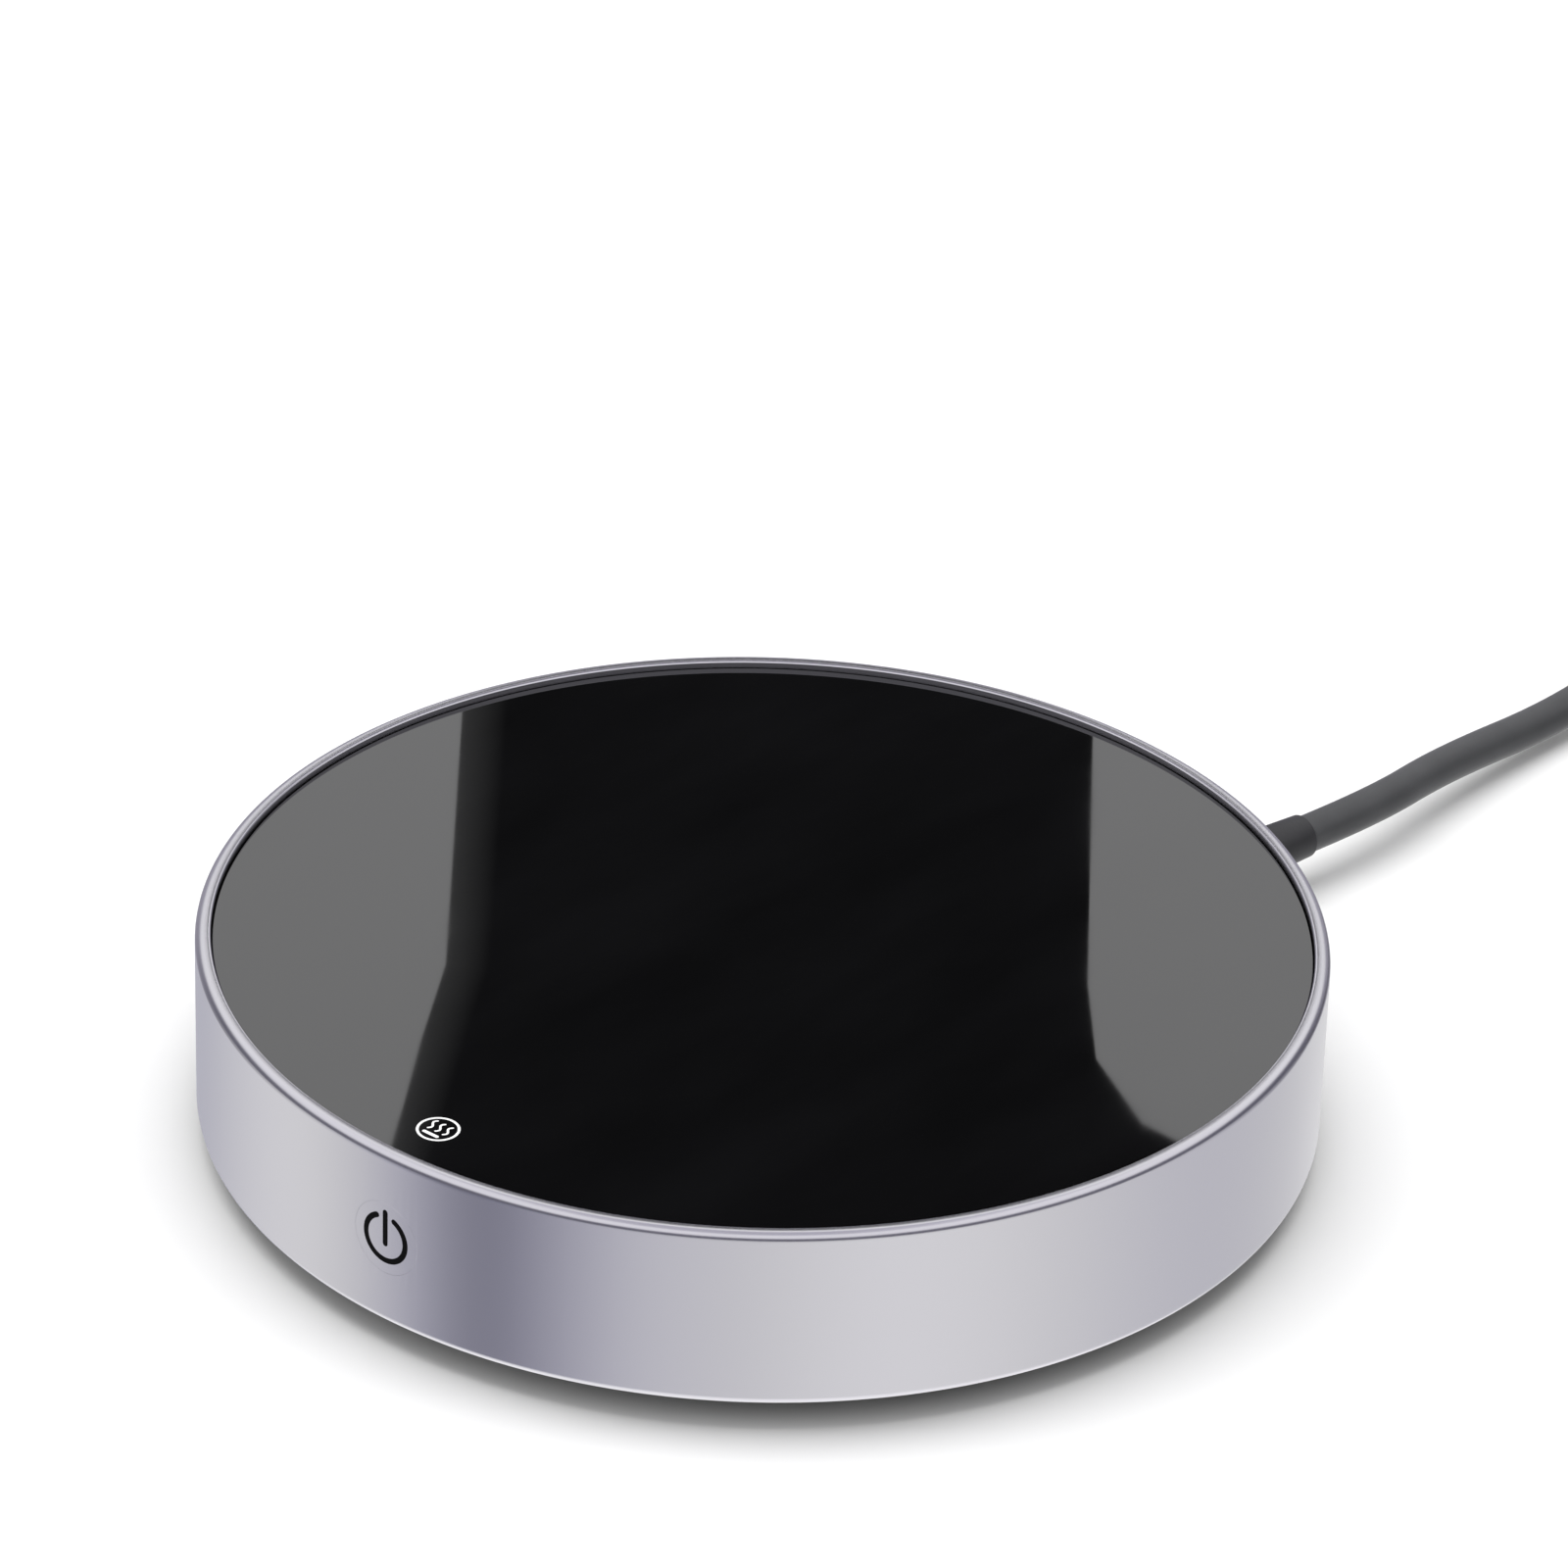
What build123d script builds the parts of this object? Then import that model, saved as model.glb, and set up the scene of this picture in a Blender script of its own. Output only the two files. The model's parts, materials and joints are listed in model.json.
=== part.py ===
from build123d import *

import os
from math import cos, degrees, pi, radians, sin, tan

# Electric mug warmer: a round metal casing with a glass heating plate that floats on springs.
# Millimetres, +Z up, the front with the power button towards -Y. The origin is on the table,
# in the middle under the casing.

# ---------------------------------------------------------------- driving dimensions
# Casing
casing_radius = 65.0
casing_wall = 1.8
casing_edge_round = 0.6  # lower outer edge
rim_round = 0.9  # upper outer edge
rim_step_depth = 0.12  # fine step inside the flat of the rim
rim_step_width = 0.15
rim_chamfer = 0.3  # inner edge of the rim

# Bottom cover and feet
foot_height = 1.6  # foot that shows below the cover
foot_seat_depth = 0.6
foot_radius = 6.0
foot_circle = 46.0
foot_count = 4
foot_round = 0.4
cover_thickness = 1.8
cover_gap = 0.3  # to the casing wall
cover_chamfer = 0.5
edge_lap = 0.4  # casing's lower edge below the cover's top face
vent_length = 18.0
vent_width = 1.8
vent_pitch = 4.5
vents_per_side = 5
vent_offset = 22.0  # middle of each group of vents

# Chassis ring
chassis_gap = 0.1  # glue line to the casing
chassis_wall = 1.9
stop_gap = 0.1  # left under the plate when it is pressed right down
cover_boss_radius = 3.0
cover_boss_height = 5.6
cover_boss_angles = (40, 140, 220, 320)
guide_boss_radius = 4.2
guide_boss_wall = 0.9
guide_boss_angles = (60, 120, 240, 300)
guide_ledge = 2.4
guide_ledge_height = 6.2  # underside of the ledge above the cover
web_width = 5.0

# Floating heating plate, from the top down
glass_thickness = 3.0
glass_recess = 0.9  # glass below the rim
glass_gap = 0.3  # to the casing wall
glass_chamfer = 0.15
spreader_thickness = 1.0
element_thickness = 0.5
element_margin = 2.0  # element inside the pan's wall
pad_thickness = 3.0
pad_fit = 0.5  # pad and spreader inside the pan's wall
pan_floor = 1.0
pan_wall = 1.2
flange_thickness = 2.0
flange_width = 12.3  # ring outside the pan
flange_gap = 1.7  # to the casing wall
plate_travel = 0.8

# Guide screws and springs
screw_head_radius = 3.0
screw_head_height = 1.6
shoulder_radius = 1.75
guide_fit = 0.05  # running fit of the shoulder in its ledge
screw_thread_radius = 1.2
screw_thread_length = 3.2
carrier_boss_radius = 3.4
carrier_boss_height = 2.2
spring_radius = 2.5
spring_wire = 0.45
spring_turns = 4
spring_end_gap = 0.03

# Circuit board and what it carries
board_pillar_height = 4.0
board_pillar_radius = 2.8
board_pillar_inset = 12.0  # pillar from the board's round edge
board_pillar_angles = (32, 148, 212, 328)
board_thickness = 1.6
board_edge_gap = 4.2  # to the chassis
board_half_width = 32.0
headroom = 0.8  # over the tallest component, under the pan when it is pressed down
small_thread_radius = 1.0
small_head_radius = 2.0
small_head_height = 1.3
small_screw_length = 5.0  # under the head
sunk_head_radius = 2.2  # cover screws
cover_screw_length = 7.0
screw_fit = 0.05
recess_depth = 0.7  # crossed slots in every screw head
recess_width = 0.6

# Components on the board, placed from the board's middle
leg_radius = 0.3
leg_reach = 1.2  # wire straight out of a component's end
leg_lift = 0.6  # lying component above the board
fuse_x = 20.0
fuse_y = 24.0
fuse_radius = 1.8
fuse_length = 10.0
film_x = -24.0
film_y = 18.0
film_length = 13.0
film_width = 11.0
film_height = 5.0
film_round = 1.0
varistor_x = -8.0
varistor_y = 22.0
varistor_radius = 3.5
varistor_height = 3.4
varistor_round = 1.1
can_x = 0.0
can_y = -8.0
can_radius = 2.5
can_length = 11.0
can_chamfer = 0.3
triac_x = 24.0
triac_y = -10.0
triac_width = 10.0
triac_length = 9.0
triac_height = 4.4
triac_tab_length = 6.0
triac_tab_thickness = 1.2
triac_hole_radius = 1.6
triac_leg_length = 4.0
triac_leg_pitch = 2.54
triac_leg_width = 0.8
triac_leg_thickness = 0.5
chip_x = -12.0
chip_y = -14.0
chip_length = 8.7
chip_width = 3.9
chip_height = 1.5
chip_standoff = 0.1
chip_pins_per_side = 7
chip_pin_pitch = 1.15
chip_pin_width = 0.4
chip_pin_length = 1.0
chip_pin_height = 0.8
resistor_count = 5
resistor_x = 12.0
resistor_y = 9.0
resistor_pitch = 3.5
resistor_radius = 1.0
resistor_length = 6.0

# Heater leads, thermistor and thermal fuse under the element
heater_lead_x = 34.0
sensor_x = -6.0
sensor_y = 6.0
sensor_height = 1.2
sensor_width = 2.0
sensor_length = 5.6
sensor_round = 0.5
sensor_lead_offset = 1.2
sensor_lead_radius = 0.4
lead_hole_length = 8.0
lead_hole_width = 3.2
fuse_link_x = 12.0
fuse_link_y = -20.0
fuse_link_length = 9.0
fuse_link_radius = 1.2
fuse_link_tail = 3.0
fuse_link_wire = 0.35

# Microswitch under the flange
microswitch_length = 12.8
microswitch_width = 5.8
microswitch_height = 6.5
microswitch_gap = 0.5  # outside the pan
microswitch_round = 0.5
microswitch_hole_spacing = 8.5
microswitch_hole_height = 1.7
striker_length = 5.8
striker_width = 2.9
plunger_length = 2.4
plunger_width = 1.2
plunger_reach = 1.0  # out of the case at rest
plunger_depth = 2.0  # inside the case
plunger_fit = 0.1
plunger_round = 0.3
contact_gap = 0.05  # between a switch's own button and what presses it

# Power button
button_radius = 4.5
button_gap = 0.06
button_drop = 10.9  # middle of the button below the rim
button_travel = 0.5
button_flange_radius = 5.6
button_flange_thickness = 1.0
button_flange_gap = 0.4  # behind the inner face of the wall
pusher_radius = 1.6
pusher_length = 1.6
button_window_width = 14.0
button_window_height = 13.0
mark_depth = 0.1

# Tact switch on its own upright board
tact_size = 4.5
tact_round = 0.4
tact_depth = 3.4
tact_stem_radius = 1.2
tact_stem_reach = 0.9
tact_stem_depth = 1.5
tact_stem_fit = 0.1
button_board_width = 18.0
button_board_height = 12.0
button_board_thickness = 1.2
upright_gap = 0.3  # upright board under the chassis's top
carrier_clearance = 0.6  # carrier behind the button at the end of its travel
slot_post_width = 3.0
slot_post_depth = 4.0
slot_post_height = 8.0
slot_fit = 0.1
led_width = 2.4
led_height = 1.1
led_depth = 1.2
led_gap = 0.2  # over the tact switch
guide_disc_radius = 3.0  # light guide under the heat mark
guide_disc_fit = 0.05
cable_wires = 4  # from the upright board to the circuit board
cable_pitch = 1.6
cable_wire_radius = 0.5
cable_rise = 1.5  # over the circuit board
cable_pad_inset = 2.5  # from the circuit board's edge

# Marks
heat_mark_inset = 6.6  # middle of the mark from the edge of the glass
heat_mark_radius = 2.3
heat_mark_line = 0.31
heat_bar_length = 2.3
heat_bar_line = 0.45
heat_bar_drop = 1.28
heat_wave_pitch = 1.1
heat_wave_rise = 0.36
heat_wave_height = 1.72
heat_wave_swing = 0.2  # how far a wave's top end lies left of its middle
heat_wave_lean = 45  # of its middle, from upright
heat_wave_line = 0.26
ink_thickness = 0.04  # printed flush, in its own shallow recess
power_mark_radius = 2.85
power_mark_line = 0.7
power_mark_gap_angle = 52
power_bar_top = 3.65
power_bar_bottom = -1.05

# Cord, strain relief and clamp
cord_diameter = 4.7
cord_azimuth = 79.0
cord_height = 7.0
cord_notch_radius = 3.5
bend_share = 0.45  # of the shorter run beside a bend that the bend takes up
cut_margin = 2.0  # how far a cut runs past the walls it goes through
relief_neck_fit = 0.1
relief_length = 21.0  # from the wall to the tip
relief_shoulder_gap = 0.15  # between the shoulder and the wall
relief_shoulder_radius = 4.3
relief_shoulder_thickness = 1.6
relief_base_radius = 3.5
relief_tip_radius = 2.7
relief_grooves = 4
relief_groove_width = 1.4
relief_groove_depth = 0.4
relief_plain_end = 4.5  # without grooves, at the tip
relief_lip_width = 10.0
relief_lip_round = 0.8
relief_lip_fit = 0.1  # over the cover
relief_lip_thickness = 1.6
relief_lip_gap = 0.3  # inside the chassis
tail_length = 16.0
sheath_fit = 0.05  # round the sheath in its clamp
clamp_setback = 5.5  # from the strain relief's lip
clamp_width = 20.0
clamp_depth = 6.0
clamp_thickness = 1.8  # over the sheath
clamp_screw_offset = 6.6
clamp_screw_length = 7.0
clamp_gap = 0.1
lead_radius = 0.8
lead_spacing = 2.2
lead_start = 3.0  # straight run out of the sheath
lead_rise = 2.5  # over the board
lead_hook = 2.5
lead_pad_inset = 1.0  # from the board's edge

# Cord route beyond the straight length that leaves the strain relief, and the coil's middle
first_run = 12.0
loose_points = [(17.05, 112.5, 4.8), (18.75, 136.0, 2.4)]
last_run = 12.0
coil_x = 50.6
coil_y = 184.0
coil_radius = 26.0  # middle of the turns
turn_spacing = 0.1
coil_strands = 7  # side by side round the middle of the bundle, which twists by one of them in each turn
coil_entry_angle = -40.0  # where the cord joins the bundle: from outwards, up
coil_entry_stub = 20.0  # straight part of the coil piece, clear of the round turns
coil_exit_stub = 19.0
tie_width = 7.0
tie_thickness = 0.7
tie_gap = 0.05  # to the turns, and to the table
tie_angle = 70

# Plug
plug_relief_length = 16.0
plug_relief_radius = 3.6
plug_shoulder_length = 10.0
plug_shoulder_width = 14.0
plug_shoulder_height = 10.0
plug_grip_length = 17.0
plug_width = 23.0
plug_round = 3.0
plug_nose_round = 1.0
blade_length = 17.5
blade_width = 6.3
blade_thickness = 1.5
blade_spacing = 12.7
blade_hole_radius = 1.6
blade_hole_from_tip = 4.0

# ---------------------------------------------------------------- heights and radii worked out from them
cover_bottom = foot_height
cover_top = cover_bottom + cover_thickness
casing_bottom = cover_top - edge_lap
board_bottom = cover_top + board_pillar_height
board_top = board_bottom + board_thickness
tallest_part = max(film_height, varistor_height, triac_height, 2 * can_radius, 2 * fuse_radius + leg_lift)
pan_bottom = board_top + tallest_part + headroom + plate_travel
pad_bottom = pan_bottom + pan_floor
element_bottom = pad_bottom + pad_thickness
spreader_bottom = element_bottom + element_thickness
glass_bottom = spreader_bottom + spreader_thickness
glass_top = glass_bottom + glass_thickness
casing_top = glass_top + glass_recess

casing_inner = casing_radius - casing_wall
glass_radius = casing_inner - glass_gap
cover_radius = casing_inner - cover_gap
chassis_outer = casing_inner - chassis_gap
chassis_inner = chassis_outer - chassis_wall
flange_radius = casing_inner - flange_gap
pan_outer = flange_radius - flange_width
pan_inner = pan_outer - pan_wall
flange_bottom = glass_bottom - flange_thickness
chassis_top = flange_bottom - plate_travel - stop_gap
guide_circle = (pan_outer + flange_radius) / 2
heat_mark_offset = glass_radius - heat_mark_inset
cover_boss_circle = chassis_inner - cover_boss_radius
ledge_bottom = cover_top + guide_ledge_height
ledge_top = ledge_bottom + guide_ledge
carrier_boss_bottom = flange_bottom - carrier_boss_height
board_radius = chassis_inner - board_edge_gap

button_height = casing_top - button_drop

cord_radius = cord_diameter / 2
relief_start = casing_radius + relief_shoulder_gap
relief_tip = casing_radius + relief_length
lip_outer = chassis_inner - relief_lip_gap
lip_inner = lip_outer - relief_lip_thickness
tail_end = lip_inner - tail_length
clamp_circle = lip_inner - clamp_setback - clamp_depth / 2


def polar(radius, angle):
    """A point on a circle about the vertical axis."""
    return (radius * cos(radians(angle)), radius * sin(radians(angle)))


def around(radius, angles):
    """Points on one circle about the vertical axis."""
    return [polar(radius, angle) for angle in angles]


def cord_plane(radius):
    """A plane square to the cord's way out, with its X sideways and its Y up."""
    x, y = polar(radius, cord_azimuth)
    return Plane(
        origin=(x, y, cord_height),
        x_dir=(-sin(radians(cord_azimuth)), cos(radians(cord_azimuth)), 0),
        z_dir=(cos(radians(cord_azimuth)), sin(radians(cord_azimuth)), 0),
    )


def save(builder, name):
    """Labels a finished piece and writes it."""
    builder.part.label = name
    export_step(builder.part, f"parts/{name}.step")


def radial_plane(angle, height):
    """A level plane with its X pointing outwards at an angle."""
    return Plane(origin=(0, 0, height), x_dir=(*polar(1, angle), 0), z_dir=(0, 0, 1))


def front_plane(distance):
    """An upright plane in front of the middle, facing the front, with its Y up."""
    return Plane.XZ.offset(distance)


def bend_radii(points):
    """The roundest bends that a route's runs allow, one for each corner."""
    radii = []
    for before, corner, after in zip(points, points[1:], points[2:]):
        run_in = Vector(*corner) - Vector(*before)
        run_out = Vector(*after) - Vector(*corner)
        half_turn = radians(run_in.get_angle(run_out) / 2)
        radii.append(bend_share * min(run_in.length, run_out.length) / tan(half_turn))
    return radii


def tube(points, radius):
    """A round tube along straight runs joined by tangent arcs."""
    with BuildPart() as made:
        with BuildLine() as path:
            FilletPolyline(*points, radius=bend_radii(points))
        with BuildSketch(path.line ^ 0):
            Circle(radius)
        sweep(path=path.line)
    return made


def ribbed_taper(start, length, base_radius, tip_radius):
    """Outline of a strain relief from its base to its tip: distance along the axis, then radius."""
    outline = [(start, 0), (start, base_radius)]
    pitch = (length - relief_plain_end) / (relief_grooves + 1)
    for groove in range(1, relief_grooves + 1):
        for edge, depth in ((-1, 0), (-1, 1), (1, 1), (1, 0)):
            along = groove * pitch + edge * relief_groove_width / 2
            taper = base_radius + (tip_radius - base_radius) * along / length
            outline.append((start + along, taper - depth * relief_groove_depth))
    return outline + [(start + length, tip_radius), (start + length, 0)]


os.makedirs("parts", exist_ok=True)

# ---------------------------------------------------------------- casing
rim_step_radius = casing_inner + rim_chamfer + rim_step_width
rim_ledge_z = casing_top - rim_step_depth

with BuildPart() as outer_casing:
    with BuildSketch(Plane.XZ) as casing_profile:
        with BuildLine():
            Polyline(
                (casing_inner, casing_bottom),
                (casing_radius, casing_bottom),
                (casing_radius, casing_top),
                (rim_step_radius, casing_top),
                (rim_step_radius, rim_ledge_z),
                (casing_inner + rim_chamfer, rim_ledge_z),
                (casing_inner, rim_ledge_z - rim_chamfer),
                close=True,
            )
        make_face()
        fillet(casing_profile.vertices().group_by(Axis.X)[-1].sort_by(Axis.Y)[-1], radius=rim_round)
        fillet(casing_profile.vertices().group_by(Axis.X)[-1].sort_by(Axis.Y)[0], radius=casing_edge_round)
    revolve(axis=Axis.Z)
    # hole for the power button
    with BuildSketch(front_plane(casing_inner - cut_margin)):
        with Locations((0, button_height)):
            Circle(button_radius + button_gap)
    extrude(amount=casing_wall + 2 * cut_margin, mode=Mode.SUBTRACT)
    # notch for the strain relief, open at the lower edge
    with BuildSketch(cord_plane(casing_inner - cut_margin)):
        Circle(cord_notch_radius)
        with Locations((0, -cord_height / 2)):
            Rectangle(2 * cord_notch_radius, cord_height)
    extrude(amount=casing_wall + 2 * cut_margin, mode=Mode.SUBTRACT)
save(outer_casing, "outer_casing")

# ---------------------------------------------------------------- chassis
chassis_middle = (chassis_inner + chassis_outer) / 2


def boss_on_web(circle, boss_radius):
    """Plan of one boss and the web that ties it to the chassis ring, X outwards."""
    with Locations((circle, 0)):
        Circle(boss_radius)
    with Locations(((circle + chassis_middle) / 2, 0)):
        Rectangle(chassis_middle - circle, web_width)


with BuildPart() as chassis:
    with BuildSketch(Plane.XY.offset(cover_top)):
        Circle(chassis_outer)
        Circle(chassis_inner, mode=Mode.SUBTRACT)
    extrude(amount=chassis_top - cover_top)
    # bosses for the cover screws
    for angle in cover_boss_angles:
        with BuildSketch(radial_plane(angle, cover_top)):
            boss_on_web(cover_boss_circle, cover_boss_radius)
    extrude(amount=cover_boss_height)
    # bosses that guide the plate's screws
    for angle in guide_boss_angles:
        with BuildSketch(radial_plane(angle, cover_top)):
            boss_on_web(guide_circle, guide_boss_radius)
    extrude(amount=ledge_top - cover_top)
    with BuildSketch(Plane.XY.offset(cover_top)):
        with Locations(*around(guide_circle, guide_boss_angles)):
            Circle(guide_boss_radius - guide_boss_wall)
    extrude(amount=guide_ledge_height, mode=Mode.SUBTRACT)
    with BuildSketch(Plane.XY.offset(ledge_bottom)):
        with Locations(*around(guide_circle, guide_boss_angles)):
            Circle(shoulder_radius + guide_fit)
    extrude(amount=guide_ledge, mode=Mode.SUBTRACT)
    with BuildSketch(Plane.XY.offset(cover_top)):
        with Locations(*around(cover_boss_circle, cover_boss_angles)):
            Circle(screw_thread_radius)
    extrude(amount=cover_boss_height, mode=Mode.SUBTRACT)
    # window for the power button, and notch for the strain relief
    with BuildSketch(front_plane(chassis_inner - cut_margin)):
        with Locations((0, button_height)):
            Rectangle(button_window_width, button_window_height)
    extrude(amount=chassis_wall + 2 * cut_margin, mode=Mode.SUBTRACT)
    with BuildSketch(cord_plane(chassis_inner - cut_margin)):
        Circle(cord_notch_radius)
        with Locations((0, -cord_height / 2)):
            Rectangle(2 * cord_notch_radius, cord_height)
    extrude(amount=chassis_wall + 2 * cut_margin, mode=Mode.SUBTRACT)
save(chassis, "chassis")

# ---------------------------------------------------------------- power button
button_back = casing_inner - button_flange_gap - button_flange_thickness
pusher_end = button_back - pusher_length

# the usual power sign: an open ring with a bar in its gap
with BuildSketch(front_plane(button_back)) as power_mark:
    with BuildLine():
        CenterArc(
            (0, button_height),
            power_mark_radius,
            90 + power_mark_gap_angle / 2,
            360 - power_mark_gap_angle,
        )
        offset(amount=power_mark_line / 2, kind=Kind.ARC)
    make_face()
    with Locations((0, button_height + (power_bar_top + power_bar_bottom) / 2)):
        SlotOverall(power_bar_top - power_bar_bottom, power_mark_line, rotation=90)

with BuildPart() as power_symbol:
    with BuildSketch(Plane.XY.offset(button_height - button_radius)):
        Circle(casing_radius)
        Circle(casing_radius - mark_depth, mode=Mode.SUBTRACT)
    extrude(amount=2 * button_radius)
    extrude(power_mark.sketch, amount=casing_radius, mode=Mode.INTERSECT)
save(power_symbol, "power_symbol")

with BuildPart() as power_button:
    with BuildSketch(Plane.XY.offset(button_height - button_radius)):
        Circle(casing_radius)
    extrude(amount=2 * button_radius)
    with BuildSketch(front_plane(button_back)):
        with Locations((0, button_height)):
            Circle(button_radius)
    extrude(amount=casing_radius, mode=Mode.INTERSECT)
    with BuildSketch(front_plane(button_back)):
        with Locations((0, button_height)):
            Circle(button_flange_radius)
    extrude(amount=button_flange_thickness)
    with BuildSketch(front_plane(pusher_end)):
        with Locations((0, button_height)):
            Circle(pusher_radius)
    extrude(amount=pusher_length)
    add(power_symbol.part, mode=Mode.SUBTRACT)
save(power_button, "power_button")

# ---------------------------------------------------------------- tact switch behind the button
stem_tip = pusher_end - contact_gap
tact_front = stem_tip - tact_stem_reach
upright_front = tact_front - tact_depth
upright_back = upright_front - button_board_thickness
upright_top = chassis_top - upright_gap
upright_bottom = upright_top - button_board_height
led_bottom = button_height + tact_size / 2 + led_gap

with BuildPart() as tact_switch_case:
    with BuildSketch(front_plane(upright_front)):
        with Locations((0, button_height)):
            RectangleRounded(tact_size, tact_size, tact_round)
    extrude(amount=tact_depth)
    with BuildSketch(front_plane(tact_front)):
        with Locations((0, button_height)):
            Circle(tact_stem_radius + tact_stem_fit)
    extrude(amount=-(tact_stem_depth + button_travel + tact_stem_fit), mode=Mode.SUBTRACT)
save(tact_switch_case, "tact_switch_case")

with BuildPart() as tact_switch_stem:
    with BuildSketch(front_plane(tact_front - tact_stem_depth)):
        with Locations((0, button_height)):
            Circle(tact_stem_radius)
    extrude(amount=tact_stem_depth + tact_stem_reach)
save(tact_switch_stem, "tact_switch_stem")

with BuildPart() as button_board:
    with BuildSketch(front_plane(upright_back)):
        with Locations((0, (upright_top + upright_bottom) / 2)):
            Rectangle(button_board_width, button_board_height)
    extrude(amount=button_board_thickness)
save(button_board, "button_board")

with BuildPart() as indicator_led:
    with BuildSketch(front_plane(upright_front)):
        with Locations((0, led_bottom + led_height / 2)):
            Rectangle(led_width, led_height)
    extrude(amount=led_depth)
save(indicator_led, "indicator_led")

# ---------------------------------------------------------------- bottom cover and feet
pillar_points = around(board_radius - board_pillar_inset, board_pillar_angles)
foot_points = around(foot_circle, [360 / foot_count * i for i in range(foot_count)])
cover_screw_points = around(cover_boss_circle, cover_boss_angles)
clamp_screw_places = [(clamp_circle, side * clamp_screw_offset) for side in (-1, 1)]  # outwards, sideways

with BuildPart() as bottom_cover:
    with BuildSketch(Plane.XY.offset(cover_bottom)):
        Circle(cover_radius)
    extrude(amount=cover_thickness)
    chamfer(bottom_cover.edges().group_by(Axis.Z)[0], length=cover_chamfer)
    # pillars for the circuit board
    with BuildSketch(Plane.XY.offset(cover_top)):
        with Locations(*pillar_points):
            Circle(board_pillar_radius)
    extrude(amount=board_pillar_height)
    with BuildSketch(Plane.XY.offset(cover_top)):
        with Locations(*pillar_points):
            Circle(small_thread_radius)
    extrude(amount=board_pillar_height, mode=Mode.SUBTRACT)
    # slotted posts that hold the upright board
    with BuildSketch(Plane.XY.offset(cover_top)):
        for side in (-1, 1):
            with Locations((side * button_board_width / 2, -(upright_front + upright_back) / 2)):
                Rectangle(slot_post_width, slot_post_depth)
    extrude(amount=slot_post_height)
    with BuildSketch(Plane.XY.offset(upright_bottom)):
        with Locations((0, -(upright_front + upright_back) / 2)):
            Rectangle(button_board_width + 2 * slot_fit, button_board_thickness + 2 * slot_fit)
    extrude(amount=button_board_height, mode=Mode.SUBTRACT)
    # cradle under the cord's sheathed end
    with BuildSketch(radial_plane(cord_azimuth, cover_top)):
        with Locations((clamp_circle, 0)):
            Rectangle(clamp_depth, clamp_width)
    extrude(amount=cord_height - clamp_gap - cover_top)
    with BuildSketch(cord_plane(clamp_circle - clamp_depth)):
        Circle(cord_radius + sheath_fit)
    extrude(amount=2 * clamp_depth, mode=Mode.SUBTRACT)
    with BuildSketch(radial_plane(cord_azimuth, cover_top)):
        with Locations(*clamp_screw_places):
            Circle(small_thread_radius)
    extrude(amount=cord_height - cover_top, mode=Mode.SUBTRACT)
    # seats of the feet, screw holes and vents
    with BuildSketch(Plane.XY.offset(cover_bottom)):
        with Locations(*foot_points):
            Circle(foot_radius)
    extrude(amount=foot_seat_depth, mode=Mode.SUBTRACT)
    with Locations(*[Plane(origin=(x, y, cover_bottom), z_dir=(0, 0, -1)) for x, y in cover_screw_points]):
        CounterSinkHole(screw_thread_radius + screw_fit, sunk_head_radius + screw_fit, depth=cover_thickness)
    with BuildSketch(Plane.XY.offset(cover_bottom)):
        for side in (-1, 1):
            with Locations((side * vent_offset, 0)):
                with GridLocations(vent_pitch, vent_pitch, vents_per_side, 1):
                    SlotOverall(vent_length, vent_width, rotation=90)
    extrude(amount=cover_thickness, mode=Mode.SUBTRACT)
save(bottom_cover, "bottom_cover")

with BuildPart() as rubber_feet:
    with BuildSketch():
        with Locations(*foot_points):
            Circle(foot_radius - screw_fit)
    extrude(amount=foot_height + foot_seat_depth)
    fillet(rubber_feet.edges().group_by(Axis.Z)[0], radius=foot_round)
save(rubber_feet, "rubber_feet")


def cross_recess(reach):
    """Plan of the crossed slots in a screw head."""
    Rectangle(2 * reach, recess_width)
    Rectangle(recess_width, 2 * reach)


with BuildPart() as cover_screws:
    with BuildSketch(Plane.XY.offset(cover_bottom)):
        with Locations(*cover_screw_points):
            Circle(screw_thread_radius)
    extrude(amount=cover_screw_length)
    with Locations(*[(x, y, cover_bottom) for x, y in cover_screw_points]):
        Cone(
            sunk_head_radius,
            screw_thread_radius,
            sunk_head_radius - screw_thread_radius,
            align=(Align.CENTER, Align.CENTER, Align.MIN),
        )
    with BuildSketch(Plane.XY.offset(cover_bottom)):
        with Locations(*cover_screw_points):
            cross_recess(screw_thread_radius)
    extrude(amount=recess_depth, mode=Mode.SUBTRACT)
save(cover_screws, "cover_screws")

# ---------------------------------------------------------------- floating heating plate
button_room = button_back - button_travel - carrier_clearance  # carrier's front edge is cut back to here
microswitch_middle = pan_outer + microswitch_gap + microswitch_width / 2
microswitch_top = board_top + microswitch_height
plunger_top = microswitch_top + plunger_reach
heater_lead_points = [(heater_lead_x, side * lead_spacing) for side in (-1, 1)]
sensor_lead_points = [(sensor_x + side * sensor_lead_offset, sensor_y) for side in (-1, 1)]

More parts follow.
